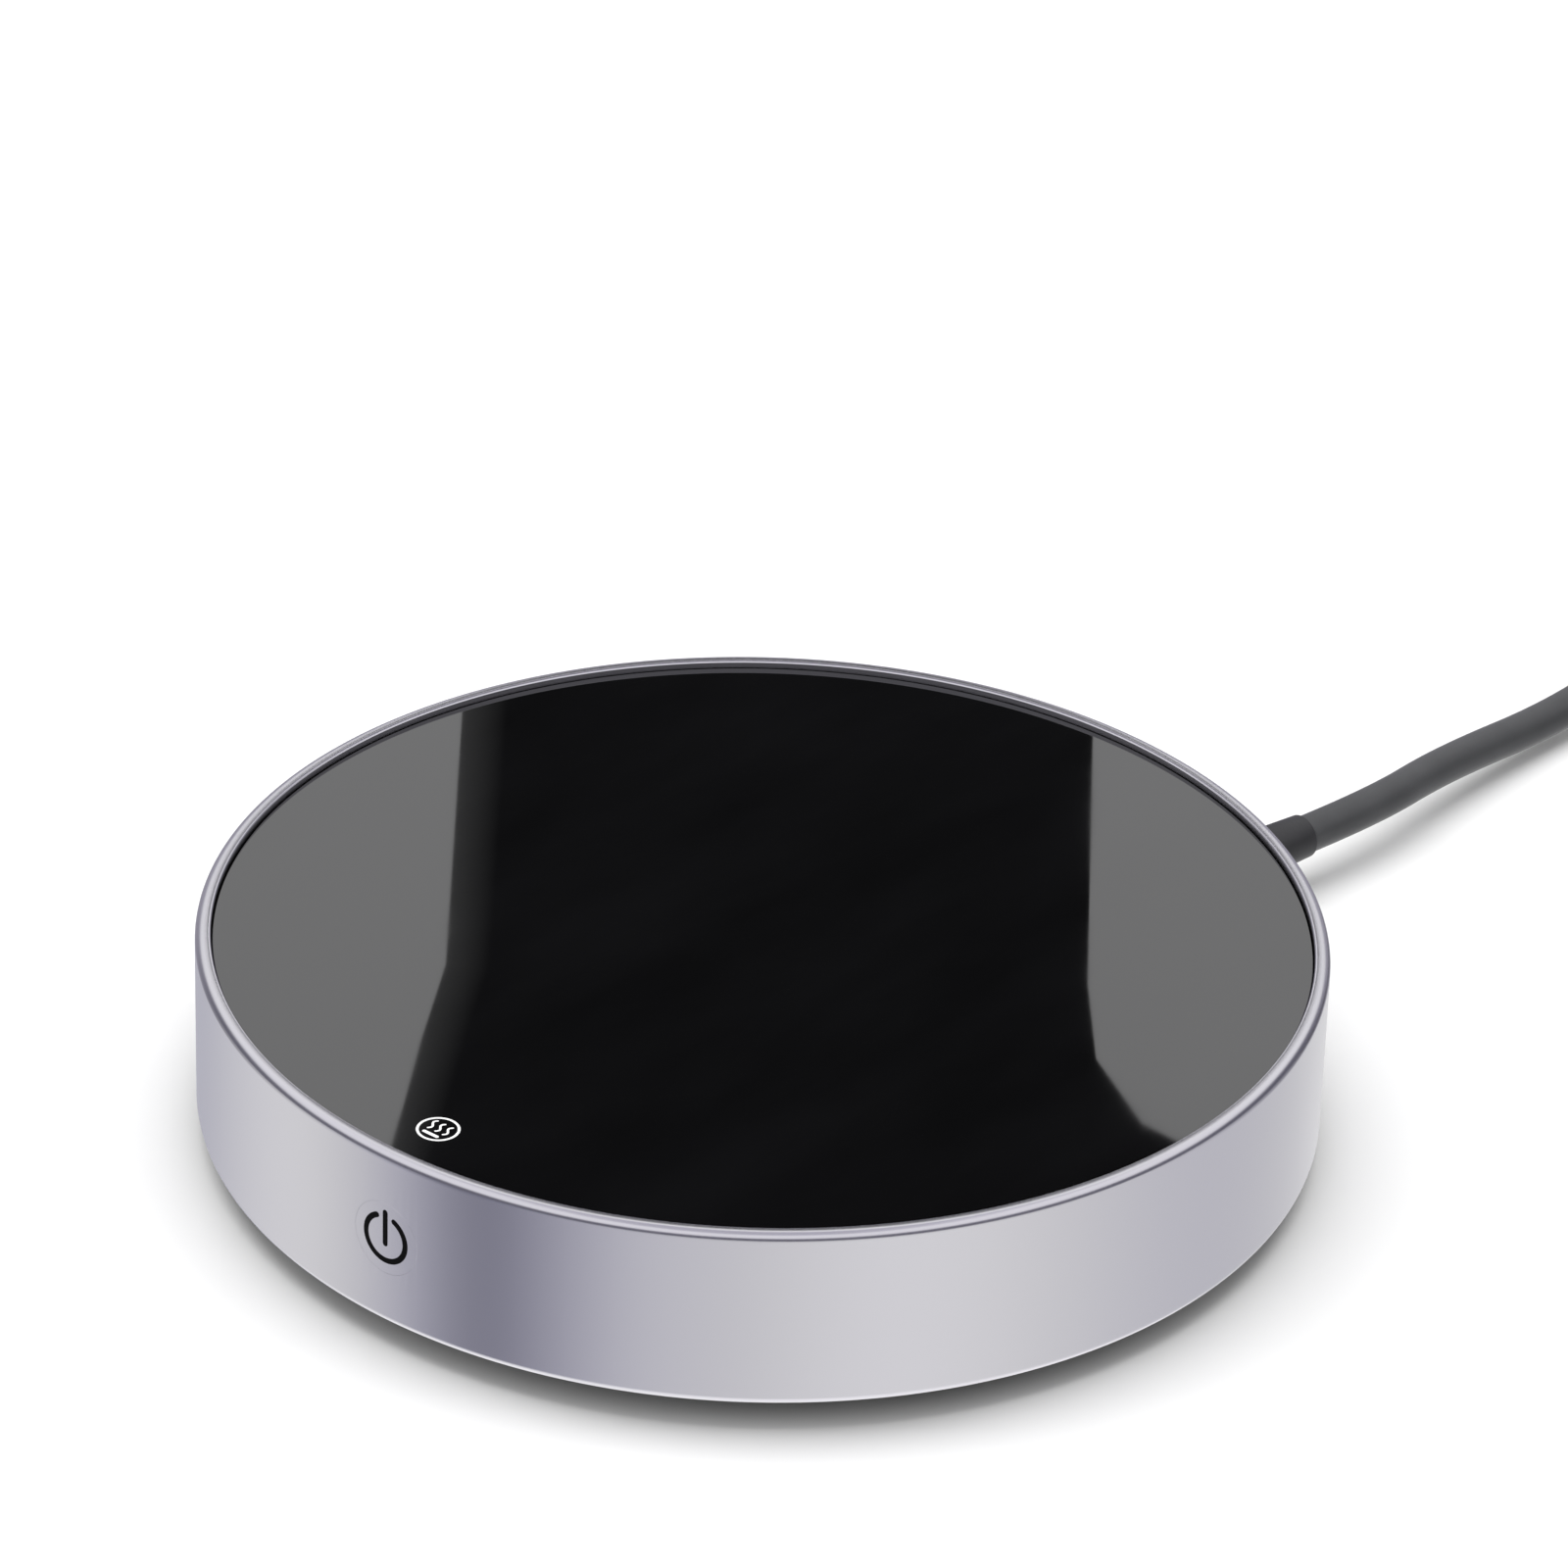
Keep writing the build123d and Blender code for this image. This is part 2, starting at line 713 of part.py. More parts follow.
with BuildPart() as heat_symbol:
    with BuildSketch(Plane.XY.offset(glass_top - ink_thickness)):
        with Locations((0, -heat_mark_offset)):
            Circle(heat_mark_radius + heat_mark_line / 2)
            Circle(heat_mark_radius - heat_mark_line / 2, mode=Mode.SUBTRACT)
        with Locations((0, -heat_mark_offset - heat_bar_drop)):
            SlotOverall(heat_bar_length, heat_bar_line)
        for column in (-1, 0, 1):
            middle = Vector(column * heat_wave_pitch, heat_wave_rise - heat_mark_offset)
            reach = Vector(-heat_wave_swing, heat_wave_height / 2)
            lean = Vector(-sin(radians(heat_wave_lean)), cos(radians(heat_wave_lean)))
            with BuildLine():
                TangentArc(middle, middle + reach, tangent=lean)
                TangentArc(middle, middle - reach, tangent=-lean)
                offset(amount=heat_wave_line / 2, kind=Kind.ARC)
            make_face()
    extrude(amount=ink_thickness)
save(heat_symbol, "heat_symbol")

with BuildPart() as glass_plate:
    with BuildSketch(Plane.XY.offset(glass_bottom)):
        Circle(glass_radius)
    extrude(amount=glass_thickness)
    chamfer(glass_plate.edges().group_by(Axis.Z)[-1], length=glass_chamfer)
    add(heat_symbol.part, mode=Mode.SUBTRACT)
save(glass_plate, "glass_plate")

with BuildPart() as heat_spreader:
    with BuildSketch(Plane.XY.offset(spreader_bottom)):
        Circle(pan_inner - pad_fit)
    extrude(amount=spreader_thickness)
save(heat_spreader, "heat_spreader")

with BuildPart() as heating_element:
    with BuildSketch(Plane.XY.offset(element_bottom)):
        Circle(pan_inner - element_margin)
    extrude(amount=element_thickness)
save(heating_element, "heating_element")

with BuildPart() as insulation_pad:
    with BuildSketch(Plane.XY.offset(pad_bottom)):
        Circle(pan_inner - pad_fit)
        with Locations((heater_lead_x, 0)):
            SlotOverall(lead_hole_length, lead_hole_width, rotation=90, mode=Mode.SUBTRACT)
        with Locations((sensor_x, sensor_y)):
            SlotOverall(lead_hole_length, lead_hole_width, mode=Mode.SUBTRACT)
        with Locations((fuse_link_x, fuse_link_y)):
            Rectangle(
                fuse_link_length + 2 * fuse_link_tail + 2 * pad_fit,
                2 * fuse_link_radius + 2 * pad_fit,
                mode=Mode.SUBTRACT,
            )
    extrude(amount=pad_thickness)
save(insulation_pad, "insulation_pad")

with BuildPart() as plate_carrier:
    with BuildSketch(Plane.XY.offset(pan_bottom)):
        Circle(pan_outer)
    extrude(amount=glass_bottom - pan_bottom)
    with BuildSketch(Plane.XY.offset(flange_bottom)):
        Circle(flange_radius)
    extrude(amount=flange_thickness)
    with BuildSketch(Plane.XY.offset(pad_bottom)):
        Circle(pan_inner)
    extrude(amount=glass_bottom - pad_bottom, mode=Mode.SUBTRACT)
    with BuildSketch(Plane.XY.offset(pan_bottom)):
        with Locations((heater_lead_x, 0)):
            SlotOverall(lead_hole_length, lead_hole_width, rotation=90)
        with Locations((sensor_x, sensor_y)):
            SlotOverall(lead_hole_length, lead_hole_width)
    extrude(amount=pan_floor, mode=Mode.SUBTRACT)
    # threaded bosses for the guide screws
    with BuildSketch(Plane.XY.offset(carrier_boss_bottom)):
        with Locations(*around(guide_circle, guide_boss_angles)):
            Circle(carrier_boss_radius)
    extrude(amount=carrier_boss_height)
    with BuildSketch(Plane.XY.offset(carrier_boss_bottom)):
        with Locations(*around(guide_circle, guide_boss_angles)):
            Circle(screw_thread_radius)
    extrude(amount=screw_thread_length + screw_fit, mode=Mode.SUBTRACT)
    # striker over the microswitch
    with BuildSketch(Plane.XY.offset(plunger_top + contact_gap)):
        with Locations((-microswitch_middle, 0)):
            Rectangle(striker_width, striker_length)
    extrude(amount=flange_bottom - plunger_top - contact_gap)
    # seat of the light guide, and room behind the power button
    with BuildSketch(Plane.XY.offset(flange_bottom)):
        with Locations((0, -heat_mark_offset)):
            Circle(guide_disc_radius + guide_disc_fit)
        with Locations((0, -button_room - flange_width / 2)):
            Rectangle(button_window_width, flange_width)
    extrude(amount=flange_thickness, mode=Mode.SUBTRACT)
save(plate_carrier, "plate_carrier")

with BuildPart() as light_guide:
    with BuildSketch(Plane.XY.offset(flange_bottom)):
        with Locations((0, -heat_mark_offset)):
            Circle(guide_disc_radius)
    extrude(amount=flange_thickness)
save(light_guide, "light_guide")

guide_points = around(guide_circle, guide_boss_angles)
head_top = ledge_bottom - contact_gap
head_bottom = head_top - screw_head_height

with BuildPart() as guide_screws:
    with BuildSketch(Plane.XY.offset(head_bottom)):
        with Locations(*guide_points):
            Circle(screw_head_radius)
    extrude(amount=screw_head_height)
    with BuildSketch(Plane.XY.offset(head_top)):
        with Locations(*guide_points):
            Circle(shoulder_radius)
    extrude(amount=carrier_boss_bottom - head_top)
    with BuildSketch(Plane.XY.offset(carrier_boss_bottom)):
        with Locations(*guide_points):
            Circle(screw_thread_radius)
    extrude(amount=screw_thread_length)
    with BuildSketch(Plane.XY.offset(head_bottom)):
        with Locations(*guide_points):
            cross_recess(shoulder_radius)
    extrude(amount=recess_depth, mode=Mode.SUBTRACT)
save(guide_screws, "guide_screws")

spring_height = carrier_boss_bottom - ledge_top - spring_wire - 2 * spring_end_gap
with BuildPart() as plate_springs:
    for x, y in guide_points:
        with BuildLine() as coil_line:
            Helix(
                pitch=spring_height / spring_turns,
                height=spring_height,
                radius=spring_radius,
                center=(x, y, ledge_top + spring_end_gap + spring_wire / 2),
            )
        with BuildSketch(Plane(origin=coil_line.line @ 0, z_dir=coil_line.line % 0)):
            Circle(spring_wire / 2)
        sweep(path=coil_line.line, is_frenet=True)
save(plate_springs, "plate_springs")

with BuildPart() as thermistor:
    with BuildSketch(Plane.XY.offset(element_bottom - sensor_height)):
        with Locations((sensor_x, sensor_y)):
            RectangleRounded(sensor_length, sensor_width, sensor_round)
    extrude(amount=sensor_height)
save(thermistor, "thermistor")

fuse_link_z = element_bottom - fuse_link_radius
with BuildPart() as thermal_fuse:
    with BuildSketch(Plane.YZ.offset(fuse_link_x - fuse_link_length / 2)):
        with Locations((fuse_link_y, fuse_link_z)):
            Circle(fuse_link_radius)
    extrude(amount=fuse_link_length)
    with BuildSketch(Plane.YZ.offset(fuse_link_x - fuse_link_length / 2 - fuse_link_tail)):
        with Locations((fuse_link_y, fuse_link_z)):
            Circle(fuse_link_wire)
    extrude(amount=fuse_link_length + 2 * fuse_link_tail)
save(thermal_fuse, "thermal_fuse")

# ---------------------------------------------------------------- circuit board and what stands on it
with BuildPart() as circuit_board:
    with BuildSketch(Plane.XY.offset(board_bottom)):
        Circle(board_radius)
        Rectangle(2 * board_radius, 2 * board_half_width, mode=Mode.INTERSECT)
        with Locations(*pillar_points):
            Circle(small_thread_radius + screw_fit, mode=Mode.SUBTRACT)
    extrude(amount=board_thickness)
save(circuit_board, "circuit_board")

with BuildPart() as board_screws:
    with BuildSketch(Plane.XY.offset(board_top)):
        with Locations(*pillar_points):
            Circle(small_head_radius)
    extrude(amount=small_head_height)
    with BuildSketch(Plane.XY.offset(board_top)):
        with Locations(*pillar_points):
            Circle(small_thread_radius)
    extrude(amount=-small_screw_length)
    with BuildSketch(Plane.XY.offset(board_top + small_head_height)):
        with Locations(*pillar_points):
            cross_recess(small_thread_radius)
    extrude(amount=-recess_depth, mode=Mode.SUBTRACT)
save(board_screws, "board_screws")

with BuildPart() as microswitch_case:
    with BuildSketch(Plane.XY.offset(board_top)):
        with Locations((-microswitch_middle, 0)):
            RectangleRounded(microswitch_width, microswitch_length, microswitch_round)
    extrude(amount=microswitch_height)
    with BuildSketch(Plane.XY.offset(microswitch_top)):
        with Locations((-microswitch_middle, 0)):
            Rectangle(plunger_width + 2 * plunger_fit, plunger_length + 2 * plunger_fit)
    extrude(amount=-(plunger_depth + plate_travel + plunger_fit), mode=Mode.SUBTRACT)
    with BuildSketch(Plane.YZ.offset(-microswitch_middle)):
        with Locations((0, board_top + microswitch_hole_height)):
            with GridLocations(microswitch_hole_spacing, 0, 2, 1):
                Circle(small_thread_radius)
    extrude(amount=microswitch_width, both=True, mode=Mode.SUBTRACT)
save(microswitch_case, "microswitch_case")

with BuildPart() as microswitch_plunger:
    with BuildSketch(Plane.XY.offset(microswitch_top - plunger_depth)):
        with Locations((-microswitch_middle, 0)):
            RectangleRounded(plunger_width, plunger_length, plunger_round)
    extrude(amount=plunger_depth + plunger_reach)
save(microswitch_plunger, "microswitch_plunger")


def lying_plane(x, y, height, direction):
    """An upright plane through the middle of a lying component, facing along it."""
    return Plane(origin=(x, y, board_top + height), z_dir=direction)


def bent_legs(middle, length, height):
    """The two wires of a lying component, each bent down to the board."""
    legs = []
    for side in (-1, 1):
        root = middle.origin + middle.z_dir * (side * length / 2)
        knee = root + middle.z_dir * (side * leg_reach)
        legs.append(tube([root, knee, knee - Vector(0, 0, height)], leg_radius).part)
    return legs


fuse_middle = lying_plane(fuse_x, fuse_y, fuse_radius + leg_lift, (1, 0, 0))
with BuildPart() as line_fuse:
    with BuildSketch(fuse_middle):
        Circle(fuse_radius)
    extrude(amount=fuse_length / 2, both=True)
    add(bent_legs(fuse_middle, fuse_length, fuse_radius + leg_lift))
save(line_fuse, "line_fuse")

with BuildPart() as resistors:
    for place in range(resistor_count):
        resistor_middle = lying_plane(
            resistor_x + place * resistor_pitch, resistor_y, resistor_radius + leg_lift, (0, 1, 0)
        )
        with BuildSketch(resistor_middle):
            Circle(resistor_radius)
        extrude(amount=resistor_length / 2, both=True)
        add(bent_legs(resistor_middle, resistor_length, resistor_radius + leg_lift))
save(resistors, "resistors")

with BuildPart() as electrolytic_capacitor:
    with BuildSketch(lying_plane(can_x, can_y, can_radius, (0, 1, 0))):
        Circle(can_radius)
    extrude(amount=can_length / 2, both=True)
    chamfer(electrolytic_capacitor.edges().filter_by(GeomType.CIRCLE), length=can_chamfer)
save(electrolytic_capacitor, "electrolytic_capacitor")

with BuildPart() as film_capacitor:
    with BuildSketch(Plane.XY.offset(board_top)):
        with Locations((film_x, film_y)):
            RectangleRounded(film_length, film_width, film_round)
    extrude(amount=film_height)
    chamfer(film_capacitor.edges().group_by(Axis.Z)[-1], length=can_chamfer)
save(film_capacitor, "film_capacitor")

with BuildPart() as varistor:
    with BuildSketch(Plane.XY.offset(board_top)):
        with Locations((varistor_x, varistor_y)):
            Circle(varistor_radius)
    extrude(amount=varistor_height)
    fillet(varistor.edges().group_by(Axis.Z)[-1], radius=varistor_round)
save(varistor, "varistor")

with BuildPart() as triac:
    with BuildSketch(Plane.XY.offset(board_top)):
        with Locations((triac_x, triac_y)):
            Rectangle(triac_width, triac_length)
    extrude(amount=triac_height)
    with BuildSketch(Plane.XY.offset(board_top)):
        with Locations((triac_x, triac_y + (triac_length + triac_tab_length) / 2)):
            Rectangle(triac_width, triac_tab_length)
            Circle(triac_hole_radius, mode=Mode.SUBTRACT)
    extrude(amount=triac_tab_thickness)
    with BuildSketch(Plane.XY.offset(board_top)):
        with Locations((triac_x, triac_y - (triac_length + triac_leg_length) / 2)):
            with GridLocations(triac_leg_pitch, 0, 3, 1):
                Rectangle(triac_leg_width, triac_leg_length)
    extrude(amount=triac_leg_thickness)
save(triac, "triac")

with BuildPart() as control_chip:
    with BuildSketch(Plane.XY.offset(board_top + chip_standoff)):
        with Locations((chip_x, chip_y)):
            Rectangle(chip_length, chip_width)
    extrude(amount=chip_height)
    with BuildSketch(Plane.XY.offset(board_top)):
        with Locations((chip_x, chip_y)):
            with GridLocations(chip_pin_pitch, chip_width + chip_pin_length, chip_pins_per_side, 2):
                Rectangle(chip_pin_width, chip_pin_length)
    extrude(amount=chip_pin_height)
save(control_chip, "control_chip")

# ---------------------------------------------------------------- wires inside
with BuildPart() as heater_leads:
    with BuildSketch(Plane.XY.offset(board_top)):
        with Locations(*heater_lead_points):
            Circle(lead_radius)
    extrude(amount=element_bottom - board_top)
save(heater_leads, "heater_leads")

with BuildPart() as sensor_leads:
    with BuildSketch(Plane.XY.offset(board_top)):
        with Locations(*sensor_lead_points):
            Circle(sensor_lead_radius)
    extrude(amount=element_bottom - sensor_height - board_top)
save(sensor_leads, "sensor_leads")

with BuildPart() as button_cable:
    cable_height = board_top + cable_rise
    cable_pad_y = cable_pad_inset - board_half_width
    for wire in range(cable_wires):
        wire_x = (wire - (cable_wires - 1) / 2) * cable_pitch
        wire_route = [
            (wire_x, -upright_back, cable_height),
            (wire_x, cable_pad_y, cable_height),
            (wire_x, cable_pad_y, board_top),
        ]
        add(tube(wire_route, cable_wire_radius).part)
save(button_cable, "button_cable")


def beside_cord(radius, sideways, height):
    """A point in line with the cord's way out, at a distance from the middle and to one side."""
    return cord_plane(radius).from_local_coords((sideways, height - cord_height, 0))


with BuildPart() as mains_leads:
    lead_pad = board_half_width - lead_pad_inset
    for side in (-1, 1):
        sideways = side * lead_spacing / 2
        lead_route = [
            beside_cord(tail_end, sideways, cord_height),
            beside_cord(tail_end - lead_start, sideways, cord_height),
            beside_cord(lead_pad + lead_hook, sideways, board_top + lead_rise),
            beside_cord(lead_pad, sideways, board_top + lead_rise),
            beside_cord(lead_pad, sideways, board_top),
        ]
        add(tube(lead_route, lead_radius).part)
save(mains_leads, "mains_leads")

# ---------------------------------------------------------------- strain relief, clamp and sheathed end
cord_side = Plane(origin=(0, 0, cord_height), x_dir=cord_plane(0).z_dir, z_dir=-cord_plane(0).x_dir)
neck_radius = cord_notch_radius - relief_neck_fit
lip_drop = cord_height - cover_top - relief_lip_fit

with BuildPart() as strain_relief:
    with BuildSketch(cord_plane(lip_inner)):
        RectangleRounded(relief_lip_width, 2 * lip_drop, relief_lip_round)
    extrude(amount=relief_lip_thickness)
    with BuildSketch(cord_plane(lip_outer)):
        Circle(neck_radius)
        with Locations((0, -lip_drop / 2)):
            Rectangle(2 * neck_radius, lip_drop)
    extrude(amount=relief_start - lip_outer)
    with BuildSketch(cord_plane(relief_start)):
        Circle(relief_shoulder_radius)
    extrude(amount=relief_shoulder_thickness)
    with BuildSketch(cord_side):
        with BuildLine():
            Polyline(
                *ribbed_taper(relief_start, relief_tip - relief_start, relief_base_radius, relief_tip_radius),
                close=True,
            )
        make_face()
    revolve(axis=Axis(cord_side.origin, cord_side.x_dir))
save(strain_relief, "strain_relief")

with BuildPart() as cord_tail:
    with BuildSketch(cord_plane(tail_end)):
        Circle(cord_radius)
    extrude(amount=tail_length)
save(cord_tail, "cord_tail")

clamp_top = cord_height + cord_radius + sheath_fit + clamp_thickness
with BuildPart() as cord_clamp:
    with BuildSketch(radial_plane(cord_azimuth, cord_height + clamp_gap)):
        with Locations((clamp_circle, 0)):
            Rectangle(clamp_depth, clamp_width)
        with Locations(*clamp_screw_places):
            Circle(small_thread_radius + screw_fit, mode=Mode.SUBTRACT)
    extrude(amount=clamp_top - cord_height - clamp_gap)
    with BuildSketch(cord_plane(clamp_circle - clamp_depth)):
        Circle(cord_radius + sheath_fit)
    extrude(amount=2 * clamp_depth, mode=Mode.SUBTRACT)
save(cord_clamp, "cord_clamp")

with BuildPart() as clamp_screws:
    with BuildSketch(radial_plane(cord_azimuth, clamp_top)):
        with Locations(*clamp_screw_places):
            Circle(small_head_radius)
    extrude(amount=small_head_height)
    with BuildSketch(radial_plane(cord_azimuth, clamp_top)):
        with Locations(*clamp_screw_places):
            Circle(small_thread_radius)
    extrude(amount=-clamp_screw_length)
    with BuildSketch(radial_plane(cord_azimuth, clamp_top + small_head_height)):
        with Locations(*clamp_screw_places):
            cross_recess(small_thread_radius)
    extrude(amount=-recess_depth, mode=Mode.SUBTRACT)
save(clamp_screws, "clamp_screws")

# ---------------------------------------------------------------- cord, its coil and the tie
bundle_ring = (cord_diameter + turn_spacing) / 2 / sin(pi / coil_strands)
bundle_radius = bundle_ring + cord_radius + turn_spacing
bundle_middle = (coil_radius, tie_thickness + 2 * tie_gap + bundle_radius)
coil_exit_angle = coil_entry_angle + 180 / coil_strands
entry_x = coil_x - coil_radius - bundle_ring * cos(radians(coil_entry_angle))
entry_z = bundle_middle[1] + bundle_ring * sin(radians(coil_entry_angle))
exit_x = coil_x + coil_radius + bundle_ring * cos(radians(coil_exit_angle))
exit_z = bundle_middle[1] + bundle_ring * sin(radians(coil_exit_angle))
coil_axis = Axis((coil_x, coil_y, 0), (0, 0, 1))
coil_section = Plane(origin=(coil_x, coil_y, 0), x_dir=(0, 1, 0), z_dir=(1, 0, 0))

route = [
    Vector(*polar(relief_tip, cord_azimuth), cord_height),
    Vector(*polar(relief_tip + first_run, cord_azimuth), cord_height),
    *[Vector(*point) for point in loose_points],
    Vector(entry_x, coil_y - coil_entry_stub - last_run, entry_z),
    Vector(entry_x, coil_y - coil_entry_stub, entry_z),
]
print("cord bends", [round(radius, 1) for radius in bend_radii(route)])
cord = tube(route, cord_radius)
save(cord, "cord")

with BuildPart() as cord_coil:
    with BuildSketch(coil_section):
        with Locations(bundle_middle):
            with PolarLocations(bundle_ring, coil_strands, start_angle=-90):
                Circle(cord_radius + turn_spacing)
        make_hull()
    revolve(axis=coil_axis)
    with BuildSketch(Plane.XZ.offset(coil_entry_stub - coil_y)):
        with Locations((entry_x, entry_z)):
            Circle(cord_radius)
    extrude(amount=-coil_entry_stub)
    with BuildSketch(Plane.XZ.offset(coil_exit_stub - coil_y)):
        with Locations((exit_x, exit_z)):
            Circle(cord_radius)
    extrude(amount=-coil_exit_stub)
save(cord_coil, "cord_coil")

tie_section = Plane(
    origin=(coil_x, coil_y, 0),
    x_dir=(*polar(1, tie_angle), 0),
    z_dir=(*polar(1, tie_angle - 90), 0),
)
with BuildPart() as cord_tie:
    with BuildSketch(tie_section):
        with Locations(bundle_middle):
            Circle(bundle_radius + tie_gap + tie_thickness)
            Circle(bundle_radius + tie_gap, mode=Mode.SUBTRACT)
    revolve(axis=coil_axis, revolution_arc=degrees(tie_width / coil_radius))
save(cord_tie, "cord_tie")

# ---------------------------------------------------------------- plug
plug_tip = coil_y - coil_exit_stub
plug_rear = plug_tip - plug_relief_length
plug_grip = plug_rear - plug_shoulder_length
plug_nose = plug_grip - plug_grip_length
plug_height = 2 * exit_z


def plug_plane(y):
    """A plane square to the plug, facing the way its blades point."""
    return Plane(origin=(exit_x, y, exit_z), x_dir=(1, 0, 0), z_dir=(0, -1, 0))


with BuildPart() as plug_body:
    with BuildSketch(plug_plane(plug_rear)):
        RectangleRounded(plug_shoulder_width, plug_shoulder_height, plug_round)
    with BuildSketch(plug_plane(plug_grip)):
        RectangleRounded(plug_width, plug_height, plug_round)
    loft()
    with BuildSketch(plug_plane(plug_grip)):
        RectangleRounded(plug_width, plug_height, plug_round)
    extrude(amount=plug_grip_length)
    chamfer(plug_body.edges().group_by(Axis.Y)[0], length=plug_nose_round)
    with BuildSketch(Plane(origin=(exit_x, plug_rear, exit_z), x_dir=(0, 1, 0), z_dir=(1, 0, 0))):
        with BuildLine():
            Polyline(*ribbed_taper(0, plug_relief_length, plug_relief_radius, relief_tip_radius), close=True)
        make_face()
    revolve(axis=Axis((exit_x, plug_rear, exit_z), (0, 1, 0)))
save(plug_body, "plug_body")

with BuildPart() as plug_blades:
    with BuildSketch(plug_plane(plug_nose)):
        with GridLocations(blade_spacing, 0, 2, 1):
            Rectangle(blade_thickness, blade_width)
    extrude(amount=blade_length)
    with BuildSketch(Plane.YZ.offset(exit_x)):
        with Locations((plug_nose - blade_length + blade_hole_from_tip, exit_z)):
            Circle(blade_hole_radius)
    extrude(amount=plug_width, both=True, mode=Mode.SUBTRACT)
save(plug_blades, "plug_blades")
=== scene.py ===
import json
import math

import bmesh
import bpy
from mathutils import Matrix, Vector


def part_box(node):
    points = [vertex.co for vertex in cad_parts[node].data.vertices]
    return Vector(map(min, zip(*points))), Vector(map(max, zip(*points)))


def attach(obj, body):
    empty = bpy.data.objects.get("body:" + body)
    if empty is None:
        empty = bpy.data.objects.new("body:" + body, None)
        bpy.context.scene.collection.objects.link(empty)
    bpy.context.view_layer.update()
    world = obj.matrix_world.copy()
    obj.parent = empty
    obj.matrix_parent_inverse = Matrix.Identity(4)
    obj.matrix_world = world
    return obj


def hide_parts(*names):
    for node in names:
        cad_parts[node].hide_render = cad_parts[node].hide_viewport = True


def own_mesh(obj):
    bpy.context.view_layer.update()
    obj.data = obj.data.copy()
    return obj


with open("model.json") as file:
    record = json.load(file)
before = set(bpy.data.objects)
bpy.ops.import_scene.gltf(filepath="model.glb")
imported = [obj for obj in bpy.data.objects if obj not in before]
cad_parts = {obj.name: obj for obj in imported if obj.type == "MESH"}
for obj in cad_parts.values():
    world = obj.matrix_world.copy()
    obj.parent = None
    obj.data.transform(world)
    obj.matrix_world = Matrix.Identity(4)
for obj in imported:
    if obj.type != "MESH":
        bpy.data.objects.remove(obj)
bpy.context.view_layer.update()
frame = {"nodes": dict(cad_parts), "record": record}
nodes = frame["nodes"]
scene = bpy.context.scene

MM = 0.001

# ---------------------------------------------------------------- sizes taken from the frame
casing_low, casing_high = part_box("outer_casing")
CASING_RADIUS = casing_high.x
CASING_BOTTOM = casing_low.z
CASING_TOP = casing_high.z
button_low, button_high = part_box("power_button")
BUTTON_HEIGHT = (button_low.z + button_high.z) / 2
glass_low, glass_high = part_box("glass_plate")
GLASS_BOTTOM = glass_low.z
GLASS_TOP = glass_high.z
mark_low, mark_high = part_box("heat_symbol")
MARK_Y = (mark_low.y + mark_high.y) / 2

# ---------------------------------------------------------------- sizes repeated from the part's source
CASING_WALL = 1.8 * MM
RIM_STEP_DEPTH = 0.12 * MM
RIM_STEP_WIDTH = 0.15 * MM
BUTTON_RADIUS = 4.5 * MM
BUTTON_FLANGE_RADIUS = 5.6 * MM
BUTTON_FLANGE = 1.0 * MM
BUTTON_FLANGE_GAP = 0.4 * MM
PUSHER_RADIUS = 1.6 * MM
PUSHER_LENGTH = 1.6 * MM
POWER_MARK_RADIUS = 2.85 * MM
POWER_MARK_LINE = 0.7 * MM
POWER_MARK_GAP = 52.0
POWER_BAR_TOP = 3.65 * MM
POWER_BAR_BOTTOM = -1.05 * MM
HEAT_MARK_RADIUS = 2.3 * MM
HEAT_MARK_LINE = 0.31 * MM
HEAT_BAR = (2.3 * MM, 0.45 * MM)  # length and line
HEAT_BAR_DROP = 1.28 * MM
WAVE_PITCH = 1.1 * MM
WAVE_RISE = 0.36 * MM
WAVE_HEIGHT = 1.72 * MM
WAVE_LINE = 0.26 * MM
CORD_AZIMUTH = 79.0
CORD_HEIGHT = 7.0 * MM
CORD_DIAMETER = 4.7 * MM
NOTCH_RADIUS = 3.5 * MM
LIP_INNER = 59.3 * MM
LIP_OUTER = 60.9 * MM
LIP_WIDTH = 10.0 * MM
LIP_DROP = 3.5 * MM
LIP_ROUND = 0.8 * MM
NECK_RADIUS = 3.4 * MM
RELIEF_START = 65.15 * MM
RELIEF_TIP = 86.0 * MM
SHOULDER_RADIUS = 4.3 * MM
SHOULDER_THICKNESS = 1.6 * MM
RELIEF_BASE_RADIUS = 3.5 * MM
RELIEF_TIP_RADIUS = 2.7 * MM
RELIEF_GROOVES = 4
GROOVE_WIDTH = 1.4 * MM
GROOVE_DEPTH = 0.4 * MM
PLAIN_END = 4.5 * MM
FIRST_RUN = 12.0 * MM
LOOSE_POINTS = [(17.6, 112.5, 5.6), (18.8, 136.0, 3.0)]  # in mm, each within 1 mm of the source's
LAST_RUN = 12.0 * MM
COIL_X = 50.6 * MM
COIL_Y = 184.0 * MM
COIL_RADIUS = 26.0 * MM
COIL_STRANDS = 7
COIL_ENTRY_ANGLE = -40.0
COIL_ENTRY_STUB = 20.0 * MM
COIL_EXIT_STUB = 19.0 * MM
TURN_SPACING = 0.1 * MM
TIE_ANGLE = 70.0
TIE_WIDTH = 7.0 * MM
TIE_THICKNESS = 0.7 * MM
TIE_GAP = 0.05 * MM
PLUG_RELIEF_LENGTH = 16.0 * MM
PLUG_RELIEF_RADIUS = 3.6 * MM
PLUG_SHOULDER_LENGTH = 10.0 * MM
PLUG_SHOULDER_WIDTH = 14.0 * MM
PLUG_SHOULDER_HEIGHT = 10.0 * MM
PLUG_GRIP_LENGTH = 17.0 * MM
PLUG_WIDTH = 23.0 * MM

